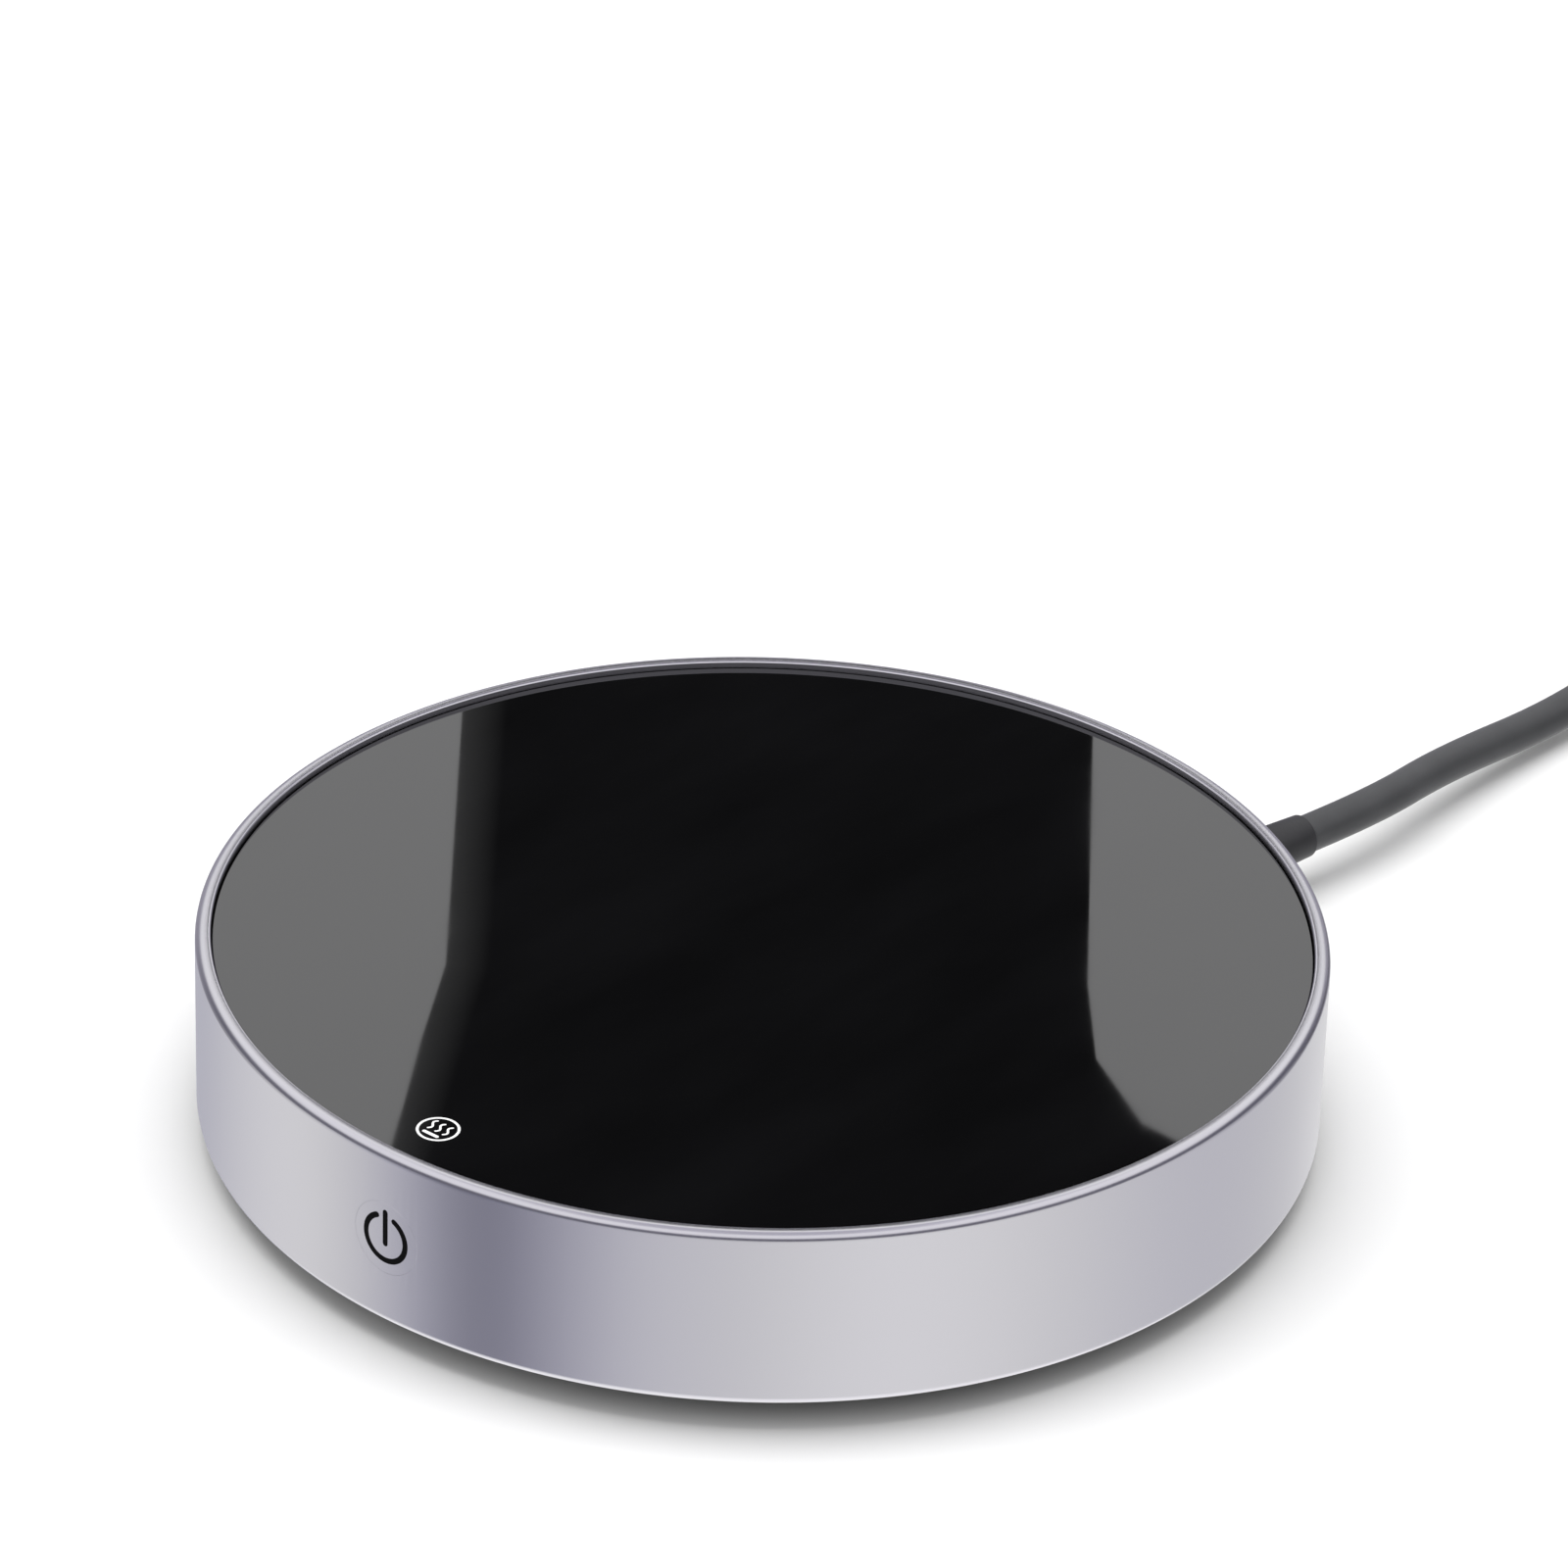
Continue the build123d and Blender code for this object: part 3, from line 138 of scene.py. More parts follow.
# ---------------------------------------------------------------- sizes of the visible finish
# where the part's source has them too, they differ by up to 0.4 mm, to match the photograph
FOOT_ROUND = 0.95 * MM
RIM_ROUND = 1.0 * MM
RIM_CHAMFER = 0.1 * MM
GLASS_GAP = 0.17 * MM
GLASS_CHAMFER = 0.1 * MM
BUTTON_GAP = 0.01 * MM
BUTTON_EDGE = 0.01 * MM
WAVE_SWING = 0.26 * MM
WAVE_REACH = 0.95  # of the sine's half turn, from a wave's middle to its end
PRINT_PROUD = 0.008 * MM  # the heat mark, over the glass
PRINT_DEPTH = 0.03 * MM
FILL_PROUD = 0.012 * MM  # the power mark, over the wall
FILL_DEPTH = 0.1 * MM
RIB_ROUND = 0.3 * MM
SHOULDER_ROUND = 0.4 * MM
CORE_RADIUS = 1.0 * MM  # where a ribbed sleeve's rear face starts, inside the cord
SMALL_RING = 0.02 * MM  # innermost ring of a face that closes on its axis
CUT_MARGIN = 3.0 * MM

TURNED_SEGMENTS = 360
BUTTON_SEGMENTS = 96
SLEEVE_SEGMENTS = 64
MARK_SEGMENTS = 144
WAVE_STEPS = 16  # either side of a wave's middle

GLASS_RADIUS = CASING_RADIUS - CASING_WALL - GLASS_GAP
CORD_RADIUS = CORD_DIAMETER / 2
BUNDLE_RING = (CORD_DIAMETER + TURN_SPACING) / 2 / math.sin(math.pi / COIL_STRANDS)
BUNDLE_RADIUS = BUNDLE_RING + CORD_RADIUS + TURN_SPACING
BUNDLE_HEIGHT = TIE_THICKNESS + 2 * TIE_GAP + BUNDLE_RADIUS


# ---------------------------------------------------------------- mesh helpers
def add_object(name, data):
    made = bpy.data.objects.new(name, data)
    scene.collection.objects.link(made)
    return made


def shade(mesh, sharp=35.0):
    """Smooth shading, with crisp edges where the mesh turns by more than an angle in degrees."""
    for polygon in mesh.polygons:
        polygon.use_smooth = True
    mesh.set_sharp_from_angle(angle=math.radians(sharp))


def mesh_object(name, points, faces, sharp=35.0):
    """A shaded mesh object whose faces look outwards."""
    mesh = bpy.data.meshes.new(name)
    mesh.from_pydata([tuple(point) for point in points], [], faces)
    mesh.validate()
    shell = bmesh.new()
    shell.from_mesh(mesh)
    bmesh.ops.recalc_face_normals(shell, faces=shell.faces)
    shell.to_mesh(mesh)
    shell.free()
    shade(mesh, sharp)
    return add_object(name, mesh)


def skin(rings, loop=False, caps=True):
    """Points and quads that join closed rings of equally many points. A loop ends at its first ring."""
    size = len(rings[0])
    points = [point for ring in rings for point in ring]
    faces = []
    spans = len(rings) if loop else len(rings) - 1
    for span in range(spans):
        here, there = span * size, (span + 1) % len(rings) * size
        for step in range(size):
            after = (step + 1) % size
            faces.append((here + step, here + after, there + after, there + step))
    if caps and not loop:
        faces.append(tuple(reversed(range(size))))
        faces.append(tuple(range(len(points) - size, len(points))))
    return points, faces


def join(shells):
    """One list of points and one of faces from several."""
    points, faces = [], []
    for shell_points, shell_faces in shells:
        start = len(points)
        points += list(shell_points)
        faces += [tuple(start + index for index in face) for face in shell_faces]
    return points, faces


def arc(middle, radius, start, end, steps):
    """Points (across, up) along an arc, angles in degrees."""
    made = []
    for step in range(steps + 1):
        angle = math.radians(start + (end - start) * step / steps)
        made.append((middle[0] + radius * math.cos(angle), middle[1] + radius * math.sin(angle)))
    return made


def circle(middle, radius, segments):
    """Points (across, up) round a circle."""
    return arc(middle, radius, 0, 360 - 360 / segments, segments - 1)


def arch(radius, foot):
    """Outline (across, up) of a half round on two straight sides down to its foot."""
    return arc((0, 0), radius, 0, 180, 24) + [(-radius, foot), (radius, foot)]


def softened(outline, radius, steps=2):
    """An open outline with each inner corner rounded by up to a radius."""
    made = [Vector(outline[0])]
    most = 0.45  # of a side, so that two rounds never meet
    for before, corner, after in zip(outline, outline[1:], outline[2:]):
        corner = Vector(corner)
        way_in = corner - Vector(before)
        way_out = Vector(after) - corner
        reach = min(radius, most * way_in.length, most * way_out.length)
        start, end = corner - way_in.normalized() * reach, corner + way_out.normalized() * reach
        for step in range(steps + 1):
            share = step / steps
            made.append(start * (1 - share) ** 2 + corner * 2 * share * (1 - share) + end * share**2)
    return made + [Vector(outline[-1])]


def rounded_rectangle(half_width, half_height, radius, steps=6):
    """Outline (across, up) of a rectangle with round corners."""
    made = []
    for right, top, start in ((1, 1, 0), (-1, 1, 90), (-1, -1, 180), (1, -1, 270)):
        middle = (right * (half_width - radius), top * (half_height - radius))
        made += arc(middle, radius, start, start + 90, steps)
    return made


def lathe(outline, place, segments, loop=False, caps=False):
    """Turns an outline of (radius, along). place gives the point at (radius, angle, along)."""
    rings = []
    for radius, along in outline:
        rings.append([place(radius, 2 * math.pi * step / segments, along) for step in range(segments)])
    return skin(rings, loop=loop, caps=caps)


def upright(radius, angle, height):
    """A point about the casing's own vertical axis."""
    return Vector((radius * math.cos(angle), radius * math.sin(angle), height))


def on_cord_axis(out, sideways, up):
    """A point measured along the cord's way out of the casing, sideways from it and up from it."""
    azimuth = math.radians(CORD_AZIMUTH)
    x = out * math.cos(azimuth) - sideways * math.sin(azimuth)
    y = out * math.sin(azimuth) + sideways * math.cos(azimuth)
    return Vector((x, y, CORD_HEIGHT + up))


def cord_bar(outline, start, end):
    """A closed bar with an outline of (across, up), along the cord's way out of the casing."""
    return skin([[on_cord_axis(out, across, up) for across, up in outline] for out in (start, end)])


def cut(piece, shell):
    """Takes a closed shell out of a piece."""
    cutter = mesh_object("cutter", *shell)
    step = piece.modifiers.new("cut", "BOOLEAN")
    step.operation = "DIFFERENCE"
    step.solver = "EXACT"
    step.object = cutter
    bpy.context.view_layer.update()
    mesh = bpy.data.meshes.new_from_object(piece.evaluated_get(bpy.context.evaluated_depsgraph_get()))
    piece.modifiers.clear()
    piece.data = mesh
    bpy.data.objects.remove(cutter)
    shade(mesh)


# ---------------------------------------------------------------- material helpers
class Nodes:
    """A node tree, built node by node."""

    def __init__(self, tree):
        self.tree = tree

    def add(self, kind, inputs=None, **settings):
        """A node with its settings, and its inputs either linked or set."""
        node = self.tree.nodes.new(kind)
        for key, value in settings.items():
            setattr(node, key, value)
        for socket, value in (inputs or {}).items():
            if isinstance(value, bpy.types.NodeSocket):
                self.tree.links.new(value, node.inputs[socket])
            else:
                node.inputs[socket].default_value = value
        return node

    def compute(self, operation, *values):
        return self.add("ShaderNodeMath", dict(enumerate(values)), operation=operation).outputs["Value"]

    def spread(self, factor, low, high, start=0.3, end=0.7, **settings):
        """A factor's range from start to end, spread from low to high."""
        inputs = {"Value": factor, "From Min": start, "From Max": end, "To Min": low, "To Max": high}
        return self.add("ShaderNodeMapRange", inputs, **settings).outputs["Result"]

    def ramp(self, factor, *stops, interpolation="LINEAR"):
        """A colour ramp through (position, colour) stops."""
        node = self.add("ShaderNodeValToRGB", {"Fac": factor})
        node.color_ramp.interpolation = interpolation
        elements = node.color_ramp.elements
        while len(elements) < len(stops):
            elements.new(0.5)
        for element, (position, colour) in zip(elements, stops):
            element.position = position
            element.color = (*colour, 1)
        return node.outputs["Color"]


class Paint(Nodes):
    """A material with a Principled shader."""

    def __init__(self, name, roughness=0.5, metallic=0.0, specular=0.5):
        self.material = bpy.data.materials.new(name)
        self.material.use_nodes = True
        super().__init__(self.material.node_tree)
        self.shader = self.tree.nodes["Principled BSDF"]
        self.set(Roughness=roughness, Metallic=metallic, Specular_IOR_Level=specular)
        self.place = self.add("ShaderNodeTexCoord").outputs["Object"]

    def set(self, **values):
        """Sets the shader's inputs, whose names have spaces where the keywords have underscores."""
        for socket, value in values.items():
            self.shader.inputs[socket.replace("_", " ")].default_value = value

    def link(self, output, socket):
        self.tree.links.new(output, self.shader.inputs[socket])

    def stretched(self, scale):
        return self.add("ShaderNodeMapping", {"Vector": self.place, "Scale": scale}).outputs["Vector"]

    def noise(self, scale, detail=3.0, stretch=None, rough=0.5):
        place = self.stretched(stretch) if stretch else self.place
        inputs = {"Vector": place, "Scale": scale, "Detail": detail, "Roughness": rough}
        return self.add("ShaderNodeTexNoise", inputs).outputs["Fac"]

    def mottled(self, colour, factor, vary):
        """A base colour that wanders a little either way."""
        dark = [channel * (1 - vary) for channel in colour]
        light = [min(1.0, channel * (1 + vary)) for channel in colour]
        self.link(self.ramp(factor, (0.3, dark), (0.7, light)), "Base Color")

    def rough(self, factor, low, high):
        self.link(self.spread(factor, low, high), "Roughness")

    def bump(self, factor, depth, strength=1.0):
        inputs = {"Height": factor, "Distance": depth, "Strength": strength}
        self.link(self.add("ShaderNodeBump", inputs).outputs["Normal"], "Normal")


def moulded(name, colour, roughness, grain=2500.0, depth=0.02 * MM):
    """Moulded plastic or rubber: a fine spark-eroded grain and a slightly uneven colour."""
    paint = Paint(name)
    cloud = paint.noise(grain / 12)
    fine = paint.noise(grain, 4.0)
    paint.mottled(colour, cloud, 0.12)
    paint.rough(cloud, roughness - 0.06, roughness + 0.06)
    paint.bump(fine, depth)
    return paint.material


def worked_metal(name, colour, roughness, scale, stretch=(1, 1, 1), depth=0.004 * MM):
    """Metal with the fine marks of its working, stretched along one way."""
    paint = Paint(name, metallic=1.0)
    lines = paint.noise(scale, 4.0, stretch, 0.6)
    paint.mottled(colour, lines, 0.05)
    paint.rough(lines, roughness - 0.05, roughness + 0.05)
    paint.bump(lines, depth)
    return paint.material


def glossy_shell(name, colour, roughness):
    """Dipped or glazed parts: a smooth lacquer over a slightly uneven body."""
    paint = Paint(name)
    cloud = paint.noise(700.0, 3.0)
    paint.mottled(colour, cloud, 0.06)
    paint.rough(cloud, roughness - 0.04, roughness + 0.04)
    paint.bump(paint.noise(260.0, 1.0), 0.05 * MM, 0.5)
    paint.set(Coat_Weight=0.5, Coat_Roughness=0.08)
    return paint.material


# ---------------------------------------------------------------- materials, one for each slot
def casing_metal():
    """Fine satin aluminium with a cool lavender cast: a beaded grain too small to see as dots."""
    paint = Paint("casing_metal", metallic=1.0)
    cloud = paint.noise(25.0, 1.0)
    grain = paint.noise(9000.0, 1.0)
    paint.mottled((0.665, 0.655, 0.695), cloud, 0.006)
    paint.rough(grain, 0.245, 0.265)
    return paint.material


def black_glass():
    """Polished black glass with the faintest haze of wiping."""
    paint = Paint("black_glass")
    haze = paint.noise(60.0, 5.0, (1, 0.35, 1))
    paint.mottled((0.0035, 0.0035, 0.004), haze, 0.3)
    paint.rough(haze, 0.015, 0.035)
    paint.set(IOR=1.9)
    return paint.material


def ink(name, colour, roughness, specular):
    """Printed or filled marks: an even layer with a slightly broken sheen."""
    paint = Paint(name, specular=specular)
    speck = paint.noise(12000.0, 2.0)
    paint.mottled(colour, speck, 0.05)
    paint.rough(speck, roughness - 0.05, roughness + 0.05)
    return paint.material


def felt():
    """Pressed ceramic fibre: short crossed fibres."""
    paint = Paint("insulation_felt", roughness=0.95, specular=0.2)
    along = paint.noise(300.0, 4.0, (1, 9, 3))
    across = paint.noise(300.0, 4.0, (9, 1, 3))
    both = paint.compute("MAXIMUM", along, across)
    paint.link(paint.ramp(both, (0.4, (0.62, 0.60, 0.54)), (0.65, (0.84, 0.82, 0.76))), "Base Color")
    paint.bump(both, 0.2 * MM)
    return paint.material


def mica():
    """Mica sheet: flaky amber layers with silvery specks."""
    paint = Paint("element_mica", roughness=0.35)
    flakes = paint.add("ShaderNodeTexVoronoi", {"Vector": paint.place, "Scale": 900.0}).outputs["Color"]
    tone = paint.add("ShaderNodeRGBToBW", {"Color": flakes}).outputs["Val"]
    paint.link(paint.ramp(tone, (0.2, (0.30, 0.19, 0.09)), (0.8, (0.55, 0.42, 0.25))), "Base Color")
    paint.rough(tone, 0.2, 0.5)
    paint.bump(tone, 0.02 * MM)
    return paint.material


def board_laminate():
    """Green solder mask over copper tracks that show as raised lighter lines."""
    paint = Paint("board_laminate", roughness=0.3)
    sizes = {"Scale": 260.0, "Mortar Size": 0.045, "Brick Width": 0.9, "Row Height": 0.35}
    rows = {"offset": 0.37, "squash": 1.6, "squash_frequency": 3}
    tracks = paint.add("ShaderNodeTexBrick", {"Vector": paint.place, **sizes}, **rows).outputs["Fac"]
    weave = paint.noise(1500.0, 2.0)
    paint.link(paint.ramp(tracks, (0.0, (0.012, 0.085, 0.035)), (1.0, (0.03, 0.20, 0.085))), "Base Color")
    paint.bump(paint.compute("ADD", tracks, weave), 0.03 * MM)
    paint.set(Coat_Weight=0.4, Coat_Roughness=0.15)
    return paint.material


def clear_plastic():
    """Clear moulded plastic with an uneven polish."""
    paint = Paint("clear_plastic")
    cloud = paint.noise(500.0)
    paint.mottled((0.86, 0.88, 0.90), cloud, 0.02)
    paint.rough(cloud, 0.04, 0.12)
    paint.set(Transmission_Weight=0.85, IOR=1.49)
    return paint.material


def banded(name, body, bands):
    """A lying component with coloured rings round its body, along Y."""
    paint = Paint(name, roughness=0.35)
    across = paint.add("ShaderNodeSeparateXYZ", {"Vector": paint.place}).outputs["Y"]
    ring = 0.07  # width of a ring, of the body's length
    stops = [(0.0, body)]
    for start, colour in bands:
        stops += [(start, colour), (start + ring, body)]
    along = paint.spread(across, 0.0, 1.0, 0.006, 0.012)
    paint.link(paint.ramp(along, *stops, interpolation="CONSTANT"), "Base Color")
    paint.bump(paint.noise(900.0), 0.02 * MM)
    return paint.material


def cord_sheath():
    """Matt dark grey flex: a fine drawn grain and a soft sheen."""
    paint = Paint("cord_sheath", specular=0.4)
    cloud = paint.noise(160.0, 3.0)
    fine = paint.noise(5200.0, 3.0)
    paint.mottled((0.058, 0.059, 0.062), cloud, 0.10)
    paint.rough(fine, 0.40, 0.52)
    paint.bump(fine, 0.012 * MM)
    paint.set(Sheen_Weight=0.12, Sheen_Roughness=0.4)
    return paint.material


def strap():
    """Hook-and-loop strap: a low woven pile."""
    paint = Paint("tie_plastic", roughness=0.85, specular=0.25)
    weave = {"Vector": paint.place, "Scale": 900.0, "Distortion": 2.0}
    across = paint.add("ShaderNodeTexWave", weave).outputs["Fac"]
    pile = paint.noise(4200.0, 4.0)
    both = paint.compute("MULTIPLY", across, pile)
    paint.link(paint.ramp(both, (0.1, (0.010, 0.010, 0.011)), (0.7, (0.045, 0.045, 0.048))), "Base Color")
    paint.bump(both, 0.15 * MM)
    paint.set(Sheen_Weight=0.3)
    return paint.material


RED, GOLD, BROWN = (0.45, 0.02, 0.01), (0.62, 0.42, 0.08), (0.12, 0.05, 0.02)
MATERIALS = {
    "casing_metal": casing_metal(),
    "black_glass": black_glass(),
    "glass_mark": ink("glass_mark", (0.95, 0.95, 0.95), 0.45, 0.3),
    "wall_mark": ink("wall_mark", (0.002, 0.002, 0.0025), 0.6, 0.05),
    "cover_plastic": moulded("cover_plastic", (0.018, 0.018, 0.020), 0.55),
    "chassis_plastic": moulded("chassis_plastic", (0.045, 0.045, 0.050), 0.6),
    "foot_rubber": moulded("foot_rubber", (0.024, 0.024, 0.024), 0.85, 1600.0, 0.03 * MM),
    "screw_steel": worked_metal("screw_steel", (0.56, 0.56, 0.57), 0.32, 900.0),
    "spring_steel": worked_metal("spring_steel", (0.60, 0.60, 0.61), 0.28, 1500.0),
    "plate_aluminium": worked_metal("plate_aluminium", (0.74, 0.74, 0.75), 0.38, 160.0, (0.2, 12, 1)),
    "element_mica": mica(),
    "insulation_felt": felt(),
    "carrier_metal": worked_metal("carrier_metal", (0.45, 0.45, 0.47), 0.5, 1100.0, depth=0.02 * MM),
    "clear_plastic": clear_plastic(),
    "sensor_ceramic": moulded("sensor_ceramic", (0.10, 0.10, 0.10), 0.6, 1900.0),
    "board_laminate": board_laminate(),
    "part_black": moulded("part_black", (0.016, 0.016, 0.017), 0.5, 3200.0),
    "part_grey": glossy_shell("part_grey", (0.34, 0.35, 0.37), 0.3),
    "part_blue": glossy_shell("part_blue", (0.03, 0.12, 0.42), 0.3),
    "part_sleeve": glossy_shell("part_sleeve", (0.016, 0.018, 0.055), 0.25),
    "fuse_ceramic": glossy_shell("fuse_ceramic", (0.76, 0.74, 0.67), 0.35),
    "resistor_body": banded("resistor_body", (0.58, 0.45, 0.27), [(0.2, RED), (0.4, BROWN), (0.7, GOLD)]),
    "switch_plastic": moulded("switch_plastic", (0.022, 0.022, 0.024), 0.45),
    "switch_button": moulded("switch_button", (0.50, 0.06, 0.04), 0.4),
    "wire_red": moulded("wire_red", (0.42, 0.02, 0.02), 0.4, 2200.0),
    "wire_white": moulded("wire_white", (0.74, 0.74, 0.71), 0.5, 2200.0),
    "wire_grey": moulded("wire_grey", (0.28, 0.28, 0.30), 0.45, 2200.0),
    "cord_sheath": cord_sheath(),
    "plug_plastic": moulded("plug_plastic", (0.026, 0.026, 0.028), 0.5, 2400.0),
    "tie_plastic": strap(),
    "blade_metal": worked_metal("blade_metal", (0.70, 0.68, 0.63), 0.22, 260.0, (8, 0.4, 1)),
}


def dress(piece, slot, body=None, stands_for=()):
    """Gives a piece its material, its slot, its body and the nodes that it stands for."""
    piece.data.materials.clear()
    piece.data.materials.append(MATERIALS[slot])
    if body:
        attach(piece, body)
    if stands_for:
        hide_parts(*stands_for)


slots = {subpart["node"]: subpart["material_slot"] for subpart in frame["record"]["subparts"]}
for node, slot in slots.items():
    dress(nodes[node], slot)


# ---------------------------------------------------------------- outer casing
def casing_outline():
    """The casing wall's section as a closed loop of (radius, height), from its inner lower corner."""
    inner = CASING_RADIUS - CASING_WALL
    hold = 0.04 * MM  # rows close to the rounds keep the flats flat in the shading
    ledge = CASING_TOP - RIM_STEP_DEPTH
    ledge_inner = inner + RIM_CHAMFER
    step = ledge_inner + RIM_STEP_WIDTH
    outline = [(inner, CASING_BOTTOM), (inner + hold, CASING_BOTTOM)]
    outline += [(CASING_RADIUS - FOOT_ROUND - hold, CASING_BOTTOM)]
    outline += arc((CASING_RADIUS - FOOT_ROUND, CASING_BOTTOM + FOOT_ROUND), FOOT_ROUND, -90, 0, 8)
    outline += [(CASING_RADIUS, CASING_BOTTOM + FOOT_ROUND + hold)]
    outline += [(CASING_RADIUS, CASING_TOP - RIM_ROUND - hold)]
    outline += arc((CASING_RADIUS - RIM_ROUND, CASING_TOP - RIM_ROUND), RIM_ROUND, 0, 90, 12)
    outline += [(CASING_RADIUS - RIM_ROUND - hold, CASING_TOP)]
    outline += arc((step + hold, CASING_TOP - hold), hold, 90, 180, 3)
    outline += [(step, ledge), (ledge_inner + hold, ledge), (ledge_inner, ledge)]
    outline += [(inner, ledge - RIM_CHAMFER), (inner, ledge - RIM_CHAMFER - hold)]
    return outline


def button_hole():
    """A closed bar along Y through the wall, where the button goes."""
    ring = circle((0, BUTTON_HEIGHT), BUTTON_RADIUS + BUTTON_GAP, BUTTON_SEGMENTS)
    ends = (-CASING_RADIUS - CUT_MARGIN, CASING_WALL + CUT_MARGIN - CASING_RADIUS)
    return skin([[Vector((x, y, z)) for x, z in ring] for y in ends])


def cord_notch():
    """A closed bar along the cord's way out: round on top, straight down past the casing's edge."""
    outline = arch(NOTCH_RADIUS, CASING_BOTTOM - CORD_HEIGHT - MM)
    return cord_bar(outline, CASING_RADIUS - CASING_WALL - CUT_MARGIN, CASING_RADIUS + CUT_MARGIN)


casing = mesh_object("casing_shell", *lathe(casing_outline(), upright, TURNED_SEGMENTS, loop=True))
cut(casing, button_hole())
cut(casing, cord_notch())
dress(casing, "casing_metal", "base", ["outer_casing"])


# ---------------------------------------------------------------- glass plate, button and their marks
def glass_outline():
    """Half the plate's section: flat, with a fine chamfer round both its edges."""
    flat = GLASS_RADIUS - GLASS_CHAMFER
    hold = 0.02 * MM  # a row this close to the chamfer keeps the top flat in the shading
    outline = [(SMALL_RING, GLASS_BOTTOM), (flat, GLASS_BOTTOM)]
    outline += [(GLASS_RADIUS, GLASS_BOTTOM + GLASS_CHAMFER), (GLASS_RADIUS, GLASS_TOP - GLASS_CHAMFER)]
    return outline + [(flat, GLASS_TOP), (flat - hold, GLASS_TOP), (SMALL_RING, GLASS_TOP)]


def round_end(point, way, half, sign):
    """The stations past a stroke's last one, which narrow it to a round end."""
    steps = 6
    tip = 0.004 * MM  # half the width of the very end
    made = []
    for step in range(1, steps + 1):
        turn = math.pi / 2 * step / steps
        ahead = point + way * (sign * half * math.sin(turn))
        made.append((ahead, way, max(half * math.cos(turn), tip)))
    return made


def stroke(path, width, place, depth, closed=False):
    """A flat stroke with round ends along a 2D path. place gives the point at (across, up, depth)."""
    path = [Vector(point) for point in path]
    stations = []
    for index, point in enumerate(path):
        before = path[index - 1] if closed or index else point
        after = path[(index + 1) % len(path)] if closed or index + 1 < len(path) else point
        stations.append((point, (after - before).normalized(), width / 2))
    if not closed:
        first_end, last_end = round_end(*stations[0], -1), round_end(*stations[-1], 1)
        stations = list(reversed(first_end)) + stations + last_end
    rings = []
    for point, way, reach in stations:
        aside = Vector((-way.y, way.x)) * reach
        left, right = point + aside, point - aside
        rings.append([place(*left, 0), place(*right, 0), place(*right, depth), place(*left, depth)])
    return skin(rings, loop=closed)


def on_glass(across, up, depth):
    """A point of the heat mark, at a depth under its printed face."""
    return Vector((across, MARK_Y + up, GLASS_TOP + PRINT_PROUD - depth))


def on_wall(across, up, depth):
    """A point on the casing's outer face in front, at a depth under it."""
    return Vector((across, -math.sqrt(CASING_RADIUS**2 - across**2) + depth, BUTTON_HEIGHT + up))


def heat_strokes():
    """A ring with three S waves over a bar."""
    ring = circle((0, 0), HEAT_MARK_RADIUS, MARK_SEGMENTS)
    bar_length, bar_line = HEAT_BAR
    reach = (bar_length - bar_line) / 2
    bar = [(-reach, -HEAT_BAR_DROP), (reach, -HEAT_BAR_DROP)]
    shells = [stroke(ring, HEAT_MARK_LINE, on_glass, PRINT_DEPTH, closed=True)]
    shells.append(stroke(bar, bar_line, on_glass, PRINT_DEPTH))
    for column in (-1, 0, 1):
        wave = []
        for step in range(-WAVE_STEPS, WAVE_STEPS + 1):
            share = step / WAVE_STEPS
            swing = WAVE_SWING * math.sin(share * math.pi * WAVE_REACH)
            wave.append((column * WAVE_PITCH - swing, WAVE_RISE + share * WAVE_HEIGHT / 2))
        shells.append(stroke(wave, WAVE_LINE, on_glass, PRINT_DEPTH))
    return shells


def power_strokes():
    """An open ring with a bar in its gap."""

    def proud(across, up, depth):
        return on_wall(across, up, depth - FILL_PROUD)

    start = 90 + POWER_MARK_GAP / 2
    ring = arc((0, 0), POWER_MARK_RADIUS, start, start + 360 - POWER_MARK_GAP, 90)
    bottom = POWER_BAR_BOTTOM + POWER_MARK_LINE / 2
    span = POWER_BAR_TOP - POWER_BAR_BOTTOM - POWER_MARK_LINE
    steps = 8
    bar = [(0, bottom + span * step / steps) for step in range(steps + 1)]
    return [stroke(path, POWER_MARK_LINE, proud, FILL_DEPTH) for path in (ring, bar)]


def button_shell():
    """The button: a face that follows the wall, its barrel, a flange behind the wall and the pusher."""
    steps = 8
    face = [(SMALL_RING, 0)] + [(BUTTON_RADIUS * step / steps, 0) for step in range(1, steps)]
    face += [(BUTTON_RADIUS - 2 * BUTTON_EDGE, 0), (BUTTON_RADIUS - BUTTON_EDGE, 0)]
    face += [(BUTTON_RADIUS, BUTTON_EDGE), (BUTTON_RADIUS, 2 * BUTTON_EDGE)]
    flange = -(CASING_RADIUS - CASING_WALL - BUTTON_FLANGE_GAP)
    pusher = flange + BUTTON_FLANGE
    tip = pusher + PUSHER_LENGTH
    back = [(BUTTON_RADIUS, flange), (BUTTON_FLANGE_RADIUS, flange), (BUTTON_FLANGE_RADIUS, pusher)]
    back += [(PUSHER_RADIUS, pusher), (PUSHER_RADIUS, tip), (SMALL_RING, tip)]
    rings = []
    for radius, depth in face:
        ring = circle((0, 0), radius, BUTTON_SEGMENTS)
        rings.append([on_wall(across, up, depth) for across, up in ring])
    for radius, y in back:
        ring = circle((0, BUTTON_HEIGHT), radius, BUTTON_SEGMENTS)
        rings.append([Vector((across, y, up)) for across, up in ring])
    return skin(rings)


